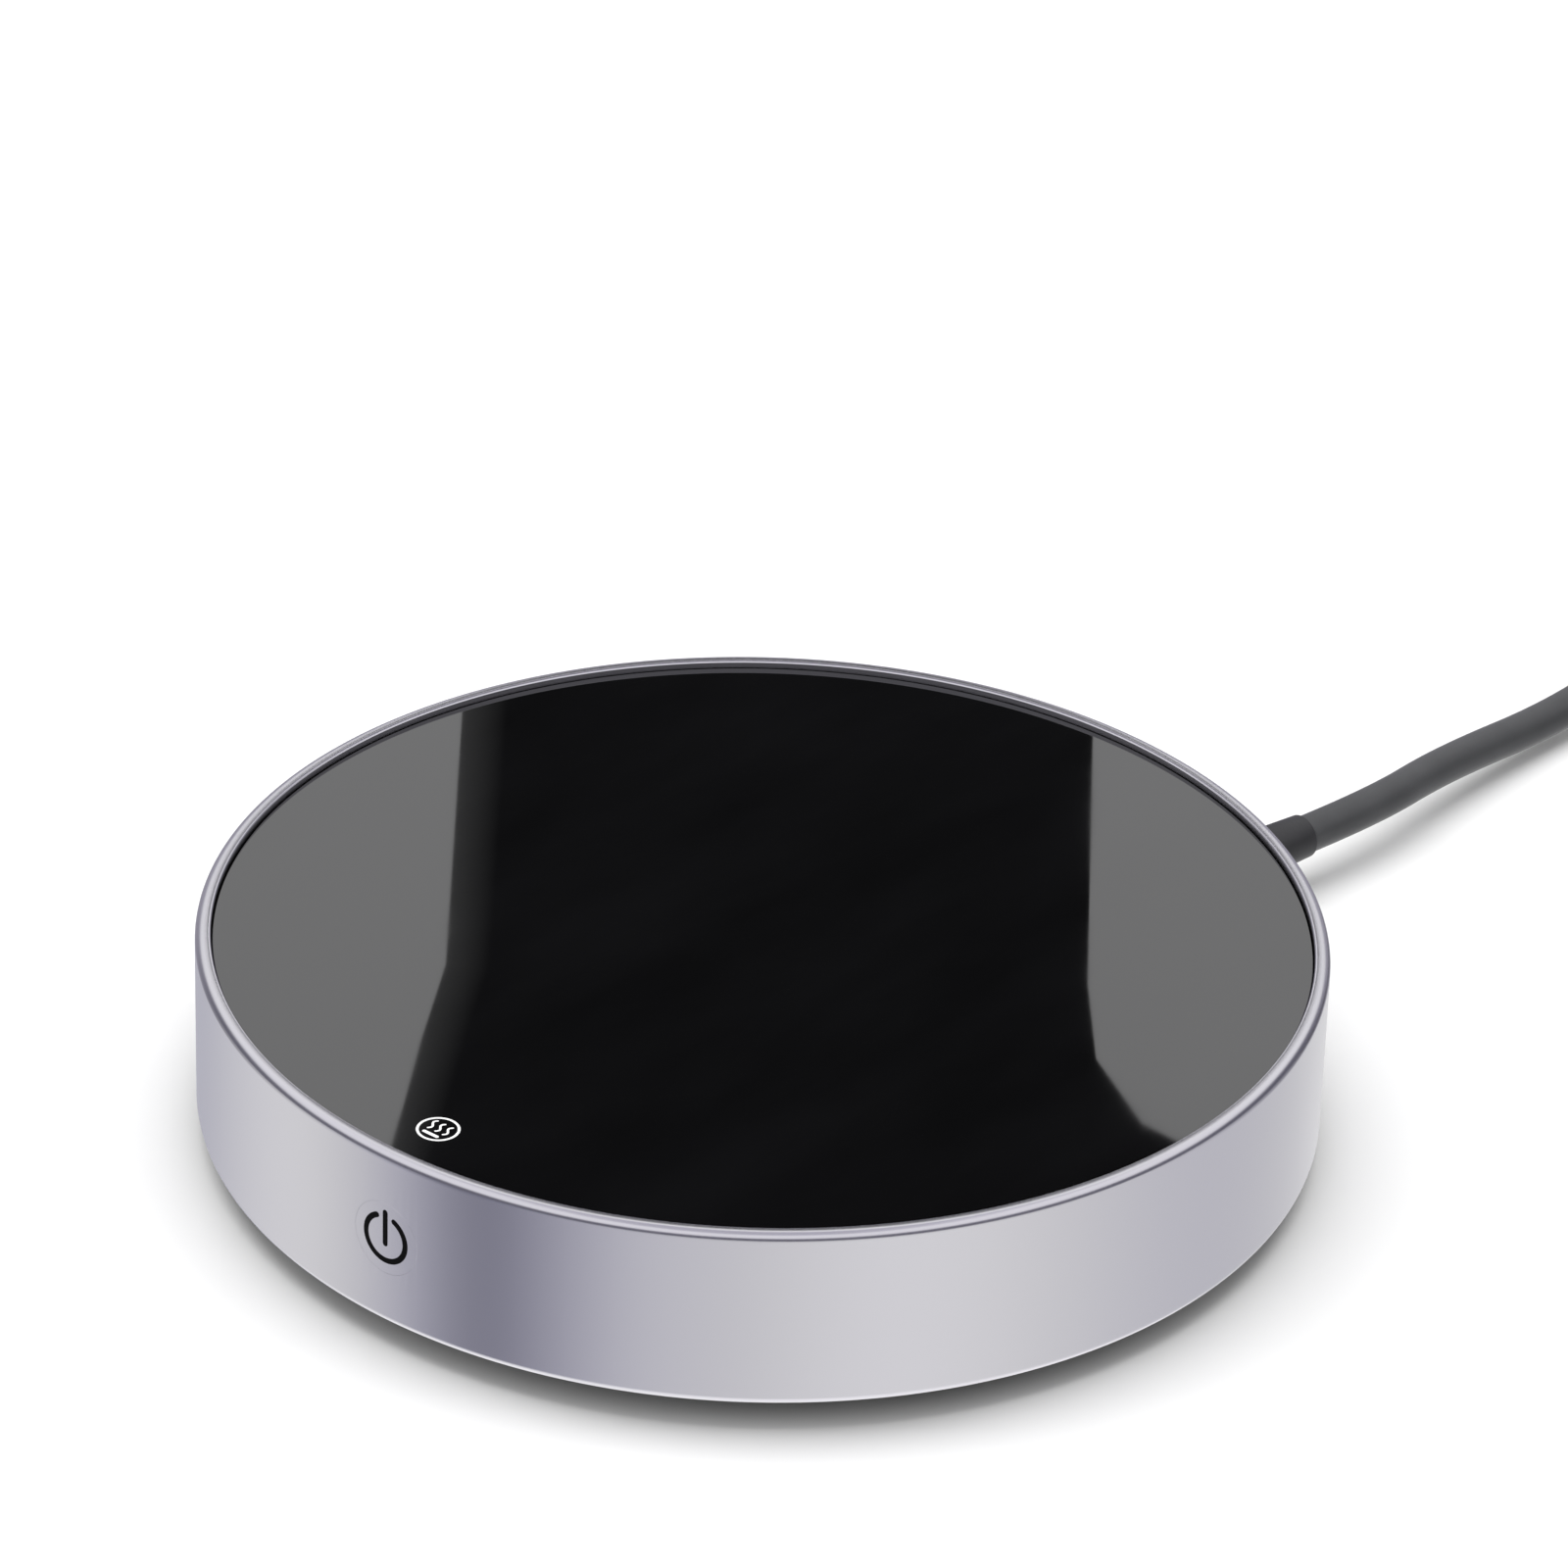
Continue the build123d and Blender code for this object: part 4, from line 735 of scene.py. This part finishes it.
glass = mesh_object("glass_disc", *lathe(glass_outline(), upright, TURNED_SEGMENTS, caps=True), sharp=20)
dress(glass, "black_glass", "heating_plate", ["glass_plate"])
heat_mark = mesh_object("heat_print", *join(heat_strokes()))
dress(heat_mark, "glass_mark", "heating_plate", ["heat_symbol"])
button = mesh_object("button_cap", *button_shell())
dress(button, "casing_metal", "power_button", ["power_button"])
power_mark = mesh_object("power_fill", *join(power_strokes()))
dress(power_mark, "wall_mark", "power_button", ["power_symbol"])


# ---------------------------------------------------------------- springs and leads under the plate
def giving(node):
    """A copy of a node, on the base body, that stands in for the node."""
    piece = add_object(node + "_giving", nodes[node].data.copy())
    piece.matrix_world = nodes[node].matrix_world
    dress(piece, slots[node], "base", [node])
    low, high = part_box(node)
    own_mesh(piece)


for joint in frame["record"]["behaviour"]["joints"]:
    for soft in joint.get("deforming_nodes", []):
        giving(soft["node"])


# ---------------------------------------------------------------- cord
def coil_points():
    """The cord's turns, clockwise from above, each one strand further round the bundle's middle."""
    per_turn = 24
    swell = 1 / math.cos(math.pi / per_turn)  # a control point lies outside its curve
    made = []
    steps = int((COIL_STRANDS - 0.5) * per_turn)  # it ends opposite its start
    for step in range(steps + 1):
        turns = step / per_turn
        twist = math.radians(COIL_ENTRY_ANGLE - 360 / COIL_STRANDS * turns)
        radius = COIL_RADIUS + BUNDLE_RING * math.cos(twist)
        height = BUNDLE_HEIGHT + BUNDLE_RING * math.sin(twist)
        reach = radius * (swell if 0 < step < steps else 1)
        angle = math.pi - 2 * math.pi * turns
        made.append(Vector((COIL_X + reach * math.cos(angle), COIL_Y + reach * math.sin(angle), height)))
    return made


def cord_curve(name, points, diameter):
    """A round cord along one smooth open spline with these control points."""
    curve = bpy.data.curves.new(name, "CURVE")
    curve.dimensions = "3D"
    curve.resolution_u = 10
    curve.bevel_depth = diameter / 2
    curve.bevel_resolution = 8
    curve.use_fill_caps = True
    spline = curve.splines.new("NURBS")
    spline.points.add(len(points) - 1)
    for control, point in zip(spline.points, points):
        control.co = (*point, 1)
    spline.order_u = 3
    spline.use_endpoint_u = True
    return add_object(name, curve)


coil = coil_points()
plug_tip = Vector((coil[-1].x, COIL_Y - COIL_EXIT_STUB, coil[-1].z))
route = [on_cord_axis(RELIEF_TIP, 0, 0), on_cord_axis(RELIEF_TIP + FIRST_RUN, 0, 0)]
route += [Vector(point) * MM for point in LOOSE_POINTS]
route += [Vector((coil[0].x, COIL_Y - COIL_ENTRY_STUB - LAST_RUN, coil[0].z))]
route += [Vector((coil[0].x, COIL_Y - COIL_ENTRY_STUB, coil[0].z))]
route += coil
route += [plug_tip + Vector((0, COIL_EXIT_STUB / 2, 0)), plug_tip - Vector((0, MM, 0))]

flex = cord_curve("flex", route, CORD_DIAMETER)
dress(flex, "cord_sheath", "base", ["cord", "cord_coil"])


# ---------------------------------------------------------------- strain relief
def ribbed_taper(start, length, base_radius):
    """Outline (radius, along) of a strain relief: rounded rings on a taper, from its neck to its tip."""
    end = start + length
    pitch = (length - PLAIN_END) / (RELIEF_GROOVES + 1)
    outline = [(CORE_RADIUS, start), (base_radius, start)]
    for groove in range(1, RELIEF_GROOVES + 1):
        for edge, depth in ((-1, 0), (-1, 1), (1, 1), (1, 0)):
            along = groove * pitch + edge * GROOVE_WIDTH / 2
            taper = base_radius + (RELIEF_TIP_RADIUS - base_radius) * along / length
            outline.append((taper - depth * GROOVE_DEPTH, start + along))
    outline += [(RELIEF_TIP_RADIUS, end), (CORD_RADIUS, end), (CORD_RADIUS, end - MM)]
    return softened(outline, RIB_ROUND, 3)


def along_cord(radius, angle, along):
    """A point round the cord's way out of the casing."""
    return on_cord_axis(along, radius * math.sin(angle), radius * math.cos(angle))


def relief_shells():
    """Lip inside the casing, neck through its notch, shoulder, and the ribbed taper outside."""
    lip = rounded_rectangle(LIP_WIDTH / 2, LIP_DROP, LIP_ROUND)
    shoulder_end = RELIEF_START + SHOULDER_THICKNESS
    shoulder = [(CORD_RADIUS, RELIEF_START), (SHOULDER_RADIUS, RELIEF_START)]
    shoulder += [(SHOULDER_RADIUS, shoulder_end), (CORD_RADIUS, shoulder_end)]
    taper = ribbed_taper(RELIEF_START, RELIEF_TIP - RELIEF_START, RELIEF_BASE_RADIUS)
    return [
        cord_bar(lip, LIP_INNER, LIP_OUTER),
        cord_bar(arch(NECK_RADIUS, -LIP_DROP), LIP_OUTER, RELIEF_START),
        lathe(softened(shoulder, SHOULDER_ROUND, 4), along_cord, SLEEVE_SEGMENTS, caps=True),
        lathe(taper, along_cord, SLEEVE_SEGMENTS, caps=True),
    ]


relief = mesh_object("relief_sleeve", *join(relief_shells()), sharp=50)
dress(relief, "plug_plastic", "base", ["strain_relief"])


# ---------------------------------------------------------------- tie round the turns
def in_bundle(radius, angle, around):
    """A point of the coil's bundle: distance from its middle, angle in it, and angle round the coil."""
    reach = COIL_RADIUS + radius * math.cos(angle)
    turn = math.radians(TIE_ANGLE) + around
    height = BUNDLE_HEIGHT + radius * math.sin(angle)
    return Vector((COIL_X + reach * math.cos(turn), COIL_Y + reach * math.sin(turn), height))


def tie_shells():
    """The strap's round, and its end lapped over the top and pressed down."""
    inner = BUNDLE_RADIUS + TIE_GAP
    outer = inner + TIE_THICKNESS
    half = TIE_WIDTH / COIL_RADIUS / 2
    edge = 0.25 * MM
    section = [(inner, -half), (outer - edge, -half), (outer, -half + edge / COIL_RADIUS)]
    section += [(outer, half - edge / COIL_RADIUS), (outer - edge, half), (inner, half)]
    segments = 72
    rings = []
    for step in range(segments):
        angle = 2 * math.pi * step / segments
        rings.append([in_bundle(radius, angle, around) for radius, around in section])
    lap = 0.5 * MM
    lap_flat = 0.9 * half  # half the width of the lap's outer face
    lap_section = [(outer - edge, -half), (outer + lap - edge, -half), (outer + lap, -lap_flat)]
    lap_section += [(outer + lap, lap_flat), (outer + lap - edge, half), (outer - edge, half)]
    lap_start, lap_span = 15, 95  # degrees round the bundle
    tip = 0.15  # the share of the lap that its round end takes
    least = 0.05  # keeps the very end from closing to a line
    lap_rings = []
    lap_steps = 16
    for step in range(lap_steps + 1):
        share = step / lap_steps
        angle = math.radians(lap_start + lap_span * share)
        narrow = math.sqrt(max(least, 1 - max(0.0, share - (1 - tip)) ** 2 / tip**2))
        lap_rings.append([in_bundle(radius, angle, around * narrow) for radius, around in lap_section])
    return [skin(rings, loop=True), skin(lap_rings)]


strap_piece = mesh_object("tie_strap", *join(tie_shells()), sharp=50)
dress(strap_piece, "tie_plastic", "base", ["cord_tie"])


# ---------------------------------------------------------------- plug
def plug_stations():
    """The plug body's sections from its shoulder to its nose: (along, half width, half height)."""
    rear = plug_tip.y - PLUG_RELIEF_LENGTH
    grip = rear - PLUG_SHOULDER_LENGTH
    nose = grip - PLUG_GRIP_LENGTH
    half_width, half_height = PLUG_WIDTH / 2, plug_tip.z
    # half widths and half heights, for the rear and the grip too
    rear_width, rear_height = PLUG_SHOULDER_WIDTH / 2, PLUG_SHOULDER_HEIGHT / 2
    grip_width, grip_height = half_width - 0.5 * MM, half_height - 0.3 * MM
    edge, edge_length = 0.8 * MM, 0.4 * MM
    stations = [(rear, rear_width - edge, rear_height - edge)]
    steps = 12
    for step in range(steps + 1):
        share = step / steps
        blend = share * share * (3 - 2 * share)
        along = rear - edge_length - (PLUG_SHOULDER_LENGTH - edge_length) * share
        wide = rear_width + (grip_width - rear_width) * blend
        high = rear_height + (grip_height - rear_height) * blend
        stations.append((along, wide, high))
    grooves = 4
    grooved = 0.75  # the share of the grip that the grooves take
    waist = 0.6 * MM
    groove_section = ((0.9, 0), (0.45, 0.3), (0, 0.42), (-0.45, 0.3), (-0.9, 0))  # along and in, in mm
    for groove in range(grooves):
        middle = grip - (groove + 1) * PLUG_GRIP_LENGTH * grooved / (grooves + 1)
        for shift, depth in groove_section:
            sunk = depth * MM + waist * math.sin(math.pi * (grip - middle) / PLUG_GRIP_LENGTH)
            stations.append((middle + shift * MM, grip_width - sunk, grip_height - sunk / 2))
    nose_section = ((2.6, 0), (0.9, 0), (0.3, 0.3), (0, 0.9))  # along and in, in mm
    for along, inset in nose_section:
        stations.append((nose + along * MM, half_width - inset * MM, half_height - inset * MM))
    return stations


def about_plug(radius, angle, along):
    """A point round the cord's end in the plug."""
    return plug_tip + Vector((radius * math.sin(angle), along, radius * math.cos(angle)))


def plug_shells():
    """Shoulder, grooved grip and flat nose in one shell, and the ribbed relief in another."""
    corner, corner_share = 3.6 * MM, 0.75  # largest corner radius, in itself and of the half height
    rings = []
    for along, wide, high in plug_stations():
        outline = rounded_rectangle(wide, high, min(corner, high * corner_share), 8)
        rings.append([Vector((plug_tip.x + across, along, plug_tip.z + up)) for across, up in outline])
    taper = ribbed_taper(0, PLUG_RELIEF_LENGTH, PLUG_RELIEF_RADIUS)
    taper = [(radius, along - PLUG_RELIEF_LENGTH) for radius, along in taper]
    return [skin(rings), lathe(taper, about_plug, SLEEVE_SEGMENTS, caps=True)]


plug = mesh_object("plug_moulding", *join(plug_shells()), sharp=50)
dress(plug, "plug_plastic", "base", ["plug_body"])

# ---------------------------------------------------------------- camera
# fitted to the photograph's rim, then turned about the object to share out its two marks' error
AROUND = Matrix.Rotation(math.radians(0.15), 3, "Z")
CAMERA_PLACE = AROUND @ Vector((478.819, -606.290, 483.407)) * MM
CAMERA_RIGHT = AROUND @ Vector((0.77632844, 0.62974456, 0.02712837))
CAMERA_UP = AROUND @ Vector((-0.32994619, 0.36932226, 0.86875577))
CAMERA_AHEAD = AROUND @ Vector((-0.5370751, 0.68339071, -0.49449719))
CAMERA_AZIMUTH = math.atan2(CAMERA_PLACE.y, CAMERA_PLACE.x)

lens = bpy.data.cameras.new("camera")
lens.lens = 180.0
lens.sensor_width = 36.0
lens.clip_start = 0.01
lens.clip_end = 20
camera = add_object("camera", lens)
axes = Matrix((CAMERA_RIGHT, CAMERA_UP, -CAMERA_AHEAD)).transposed()
camera.matrix_world = Matrix.Translation(CAMERA_PLACE) @ axes.to_4x4()
scene.camera = camera
scene.view_settings.view_transform = "Standard"


# ---------------------------------------------------------------- floor, studio and light
FLOOR_HALF = 3.0
FADE_START, FADE_END = 0.4, 0.8  # metres from the object's middle


def floor_paper():
    """White paper. Past the object's shadow the camera sees plain white, as if it ran into a backdrop."""
    paper = Paint("floor_paper", roughness=0.9, specular=0.0)
    paper.mottled((0.93, 0.93, 0.93), paper.noise(40.0), 0.004)
    away = paper.add("ShaderNodeVectorMath", {0: paper.place}, operation="LENGTH").outputs["Value"]
    far = paper.spread(away, 0.0, 1.0, FADE_START, FADE_END)
    watched = paper.add("ShaderNodeLightPath").outputs["Is Camera Ray"]
    share = paper.compute("MULTIPLY", far, watched)
    glow = paper.add("ShaderNodeEmission", {"Color": (1, 1, 1, 1), "Strength": 1.0}).outputs["Emission"]
    blend = {0: share, 1: paper.shader.outputs["BSDF"], 2: glow}
    surface = paper.add("ShaderNodeMixShader", blend).outputs["Shader"]
    paper.tree.links.new(surface, paper.tree.nodes["Material Output"].inputs["Surface"])
    return paper.material


corners = [(x * FLOOR_HALF, y * FLOOR_HALF, 0) for x, y in ((-1, -1), (1, -1), (1, 1), (-1, 1))]
floor = mesh_object("floor", corners, [(0, 1, 2, 3)])
floor.data.materials.append(floor_paper())
floor.visible_glossy = False


def flag_cloth():
    """Dark cloth, nearly black where the mesh's depth is 1."""
    material = bpy.data.materials.new("flag_cloth")
    material.use_nodes = True
    cloth = Nodes(material.node_tree)
    cloth.tree.nodes.clear()
    reading = cloth.add("ShaderNodeAttribute", attribute_name="depth").outputs["Fac"]
    colour = cloth.ramp(reading, (0, (0.17, 0.17, 0.17)), (1, (0.01, 0.01, 0.01)))
    glow = cloth.add("ShaderNodeEmission", {"Color": colour}).outputs["Emission"]
    cloth.add("ShaderNodeOutputMaterial", {"Surface": glow})
    return material


def mirror_flag():
    """A dark board behind the object that only reflections show: it keeps the glass's middle black."""
    away = Vector((-math.cos(CAMERA_AZIMUTH), -math.sin(CAMERA_AZIMUTH), 0))
    aside = Vector((away.y, -away.x, 0))
    distance = 300 * MM
    rows = [  # height, left edge and right edge, in mm
        (140, -47, 50),
        (210, -50.5, 52),
        (224, -54.3, 54),
        (236, -57, 62),
        (242, -58.5, 73),
        (270, -65, 95),
    ]
    fade = 7  # mm from the left edge to where the cloth is at its darkest
    per_row = 3
    points, faces = [], []
    for height, left, right in rows:
        for across in (left, left + fade, right):
            points.append(away * distance + aside * (across * MM) + Vector((0, 0, height * MM)))
    for row in range(len(rows) - 1):
        for column in range(per_row - 1):
            corner = per_row * row + column
            faces.append((corner, corner + 1, corner + per_row + 1, corner + per_row))
    flag = mesh_object("mirror_flag", points, faces)
    depth = flag.data.attributes.new("depth", "FLOAT", "POINT")
    for index in range(len(points)):
        depth.data[index].value = min(1, index % per_row)
    flag.data.materials.append(flag_cloth())
    for ray in ("camera", "diffuse", "shadow", "transmission", "volume_scatter"):
        setattr(flag, "visible_" + ray, False)


mirror_flag()


class Sky(Nodes):
    """The world's shader. It reads where a ray goes: how high, and how far round."""

    def __init__(self, tree):
        super().__init__(tree)
        tree.nodes.clear()
        way = self.add("ShaderNodeTexCoord").outputs["Generated"]
        split = self.add("ShaderNodeSeparateXYZ", {"Vector": way}).outputs
        azimuth = self.compute("ARCTAN2", split["Y"], split["X"])
        turned = self.compute("SUBTRACT", azimuth, CAMERA_AZIMUTH - math.pi)
        self.height = split["Z"]  # the sine of the angle over the horizon
        # 0.5 is towards the camera, more is round to its right, and 0 and 1 are away from it
        self.round = self.compute("FRACT", self.compute("DIVIDE", turned, 2 * math.pi))

    def between(self, value, start, end):
        """0 to 1, smoothly, as a value goes from start to end."""
        return self.spread(value, 0.0, 1.0, start, end, interpolation_type="SMOOTHSTEP")

    def rise(self, start, end):
        return self.between(self.height, start, end)

    def mix(self, factor, first, second):
        return self.add("ShaderNodeMix", {0: factor, 6: first, 7: second}, data_type="RGBA").outputs[2]

    def background(self, colour):
        return self.add("ShaderNodeBackground", {"Color": colour, "Strength": 1.0}).outputs["Background"]


def mirrored(sky):
    """What reflections show: a ring of soft boxes, a dark strip, a bright ring and the ceiling over it."""
    bands = [  # degrees round from the camera to the right, brightness
        (-180, 0.56),
        (-150, 0.59),
        (-112, 0.92),
        (-90, 0.80),
        (-74, 0.52),
        (-58, 0.19),
        (-44, 0.335),
        (-26, 0.635),
        (0, 0.78),
        (28, 0.93),
        (60, 0.84),
        (98, 0.69),
        (136, 0.77),
        (168, 0.93),
        (180, 0.78),
    ]
    stops = []
    for degrees, level in bands:
        blue = level * (1 + 0.5 * max(0.0, 0.8 - level))  # the darker, the bluer
        stops.append((0.5 + degrees / 360, (level, level, blue)))
    ring = sky.ramp(sky.round, *stops, interpolation="CARDINAL")
    dark, bright, ceiling = (0.13, 0.127, 0.165, 1), (1.0, 0.99, 1.03, 1), (0.56, 0.55, 0.62, 1)
    far_dark, far_bright, table = (0.38, 0.37, 0.43, 1), (1.05, 1.05, 1.06, 1), (1.2, 1.2, 1.2, 1)
    near = sky.mix(sky.rise(0.91, 0.98), sky.mix(sky.rise(0.33, 0.62), dark, bright), ceiling)
    # on the far side of the object the strip is less dark, and the bright ring starts and ends lower
    far = sky.mix(sky.rise(0.78, 0.88), sky.mix(sky.rise(0.34, 0.43), far_dark, far_bright), ceiling)
    aside = sky.compute("ABSOLUTE", sky.compute("SUBTRACT", sky.round, 0.5))
    above = sky.mix(sky.between(aside, 0.34, 0.42), near, far)
    # the ring of soft boxes ends at the horizon in front, and lower on the far side
    edge = sky.mix(sky.between(aside, 0.22, 0.40), sky.rise(-0.16, 0.0), sky.rise(-0.48, -0.34))
    return sky.mix(sky.rise(-0.60, -0.86), sky.mix(edge, ring, above), table)


def fill_light(sky):
    """What lights the object: a dim front, a low box on either side, brighter on the left, and the top."""
    front, right, left = (0.16, 0.16, 0.165, 1), (0.70, 0.70, 0.70, 1), (2.0, 2.0, 2.0, 1)
    top, under = (0.62, 0.62, 0.62, 1), (0.05, 0.05, 0.05, 1)
    rightwards = sky.compute("SINE", sky.compute("MULTIPLY", sky.round, -2 * math.pi))
    leftwards = sky.compute("MULTIPLY", rightwards, -1.0)
    low_right = sky.mix(sky.between(rightwards, 0.4, 1.0), front, right)
    low_sides = sky.mix(sky.between(leftwards, 0.2, 0.9), low_right, left)
    dome = sky.mix(sky.rise(0.05, 0.55), low_sides, top)
    return sky.mix(sky.rise(-0.04, 0.0), under, dome)


def thrown_back(sky):
    """What the wall reflects onto the table beside it."""
    return sky.mix(sky.rise(0.0, 0.2), (0.05, 0.05, 0.05, 1), (1.2, 1.2, 1.2, 1))


def studio():
    """White for the camera, soft white for the light, and a ring of soft boxes for reflections."""
    world = bpy.data.worlds.new("studio")
    world.use_nodes = True
    scene.world = world
    sky = Sky(world.node_tree)
    rays = sky.add("ShaderNodeLightPath").outputs
    after_diffuse = sky.compute("GREATER_THAN", rays["Diffuse Depth"], 0.5)
    bounced = sky.compute("MULTIPLY", rays["Is Glossy Ray"], after_diffuse)
    light = sky.background(sky.mix(bounced, fill_light(sky), thrown_back(sky)))
    mirror = sky.background(mirrored(sky))
    white = sky.background((1, 1, 1, 1))
    direct = sky.compute("LESS_THAN", rays["Diffuse Depth"], 0.5)
    reflected = sky.compute("MULTIPLY", rays["Is Glossy Ray"], direct)
    glossy = sky.add("ShaderNodeMixShader", {0: reflected, 1: light, 2: mirror}).outputs["Shader"]
    open_rays = sky.compute("MAXIMUM", rays["Is Camera Ray"], rays["Is Transmission Ray"])
    surface = sky.add("ShaderNodeMixShader", {0: open_rays, 1: glossy, 2: white}).outputs["Shader"]
    sky.add("ShaderNodeOutputWorld", {"Surface": surface})


studio()

box = bpy.data.lights.new("overhead_box", "AREA")
box.shape = "RECTANGLE"
box.size = 1.7
box.size_y = 0.5
box.energy = 14.3
overhead = add_object("overhead_box", box)
box_place = Vector((-0.14, 0.09, 1.3))
box_up = box_place.normalized()
box_across = (CAMERA_RIGHT - box_up * CAMERA_RIGHT.dot(box_up)).normalized()
box_axes = Matrix((box_across, box_up.cross(box_across), box_up)).transposed()
overhead.matrix_world = Matrix.Translation(box_place) @ box_axes.to_4x4()
overhead.visible_glossy = False
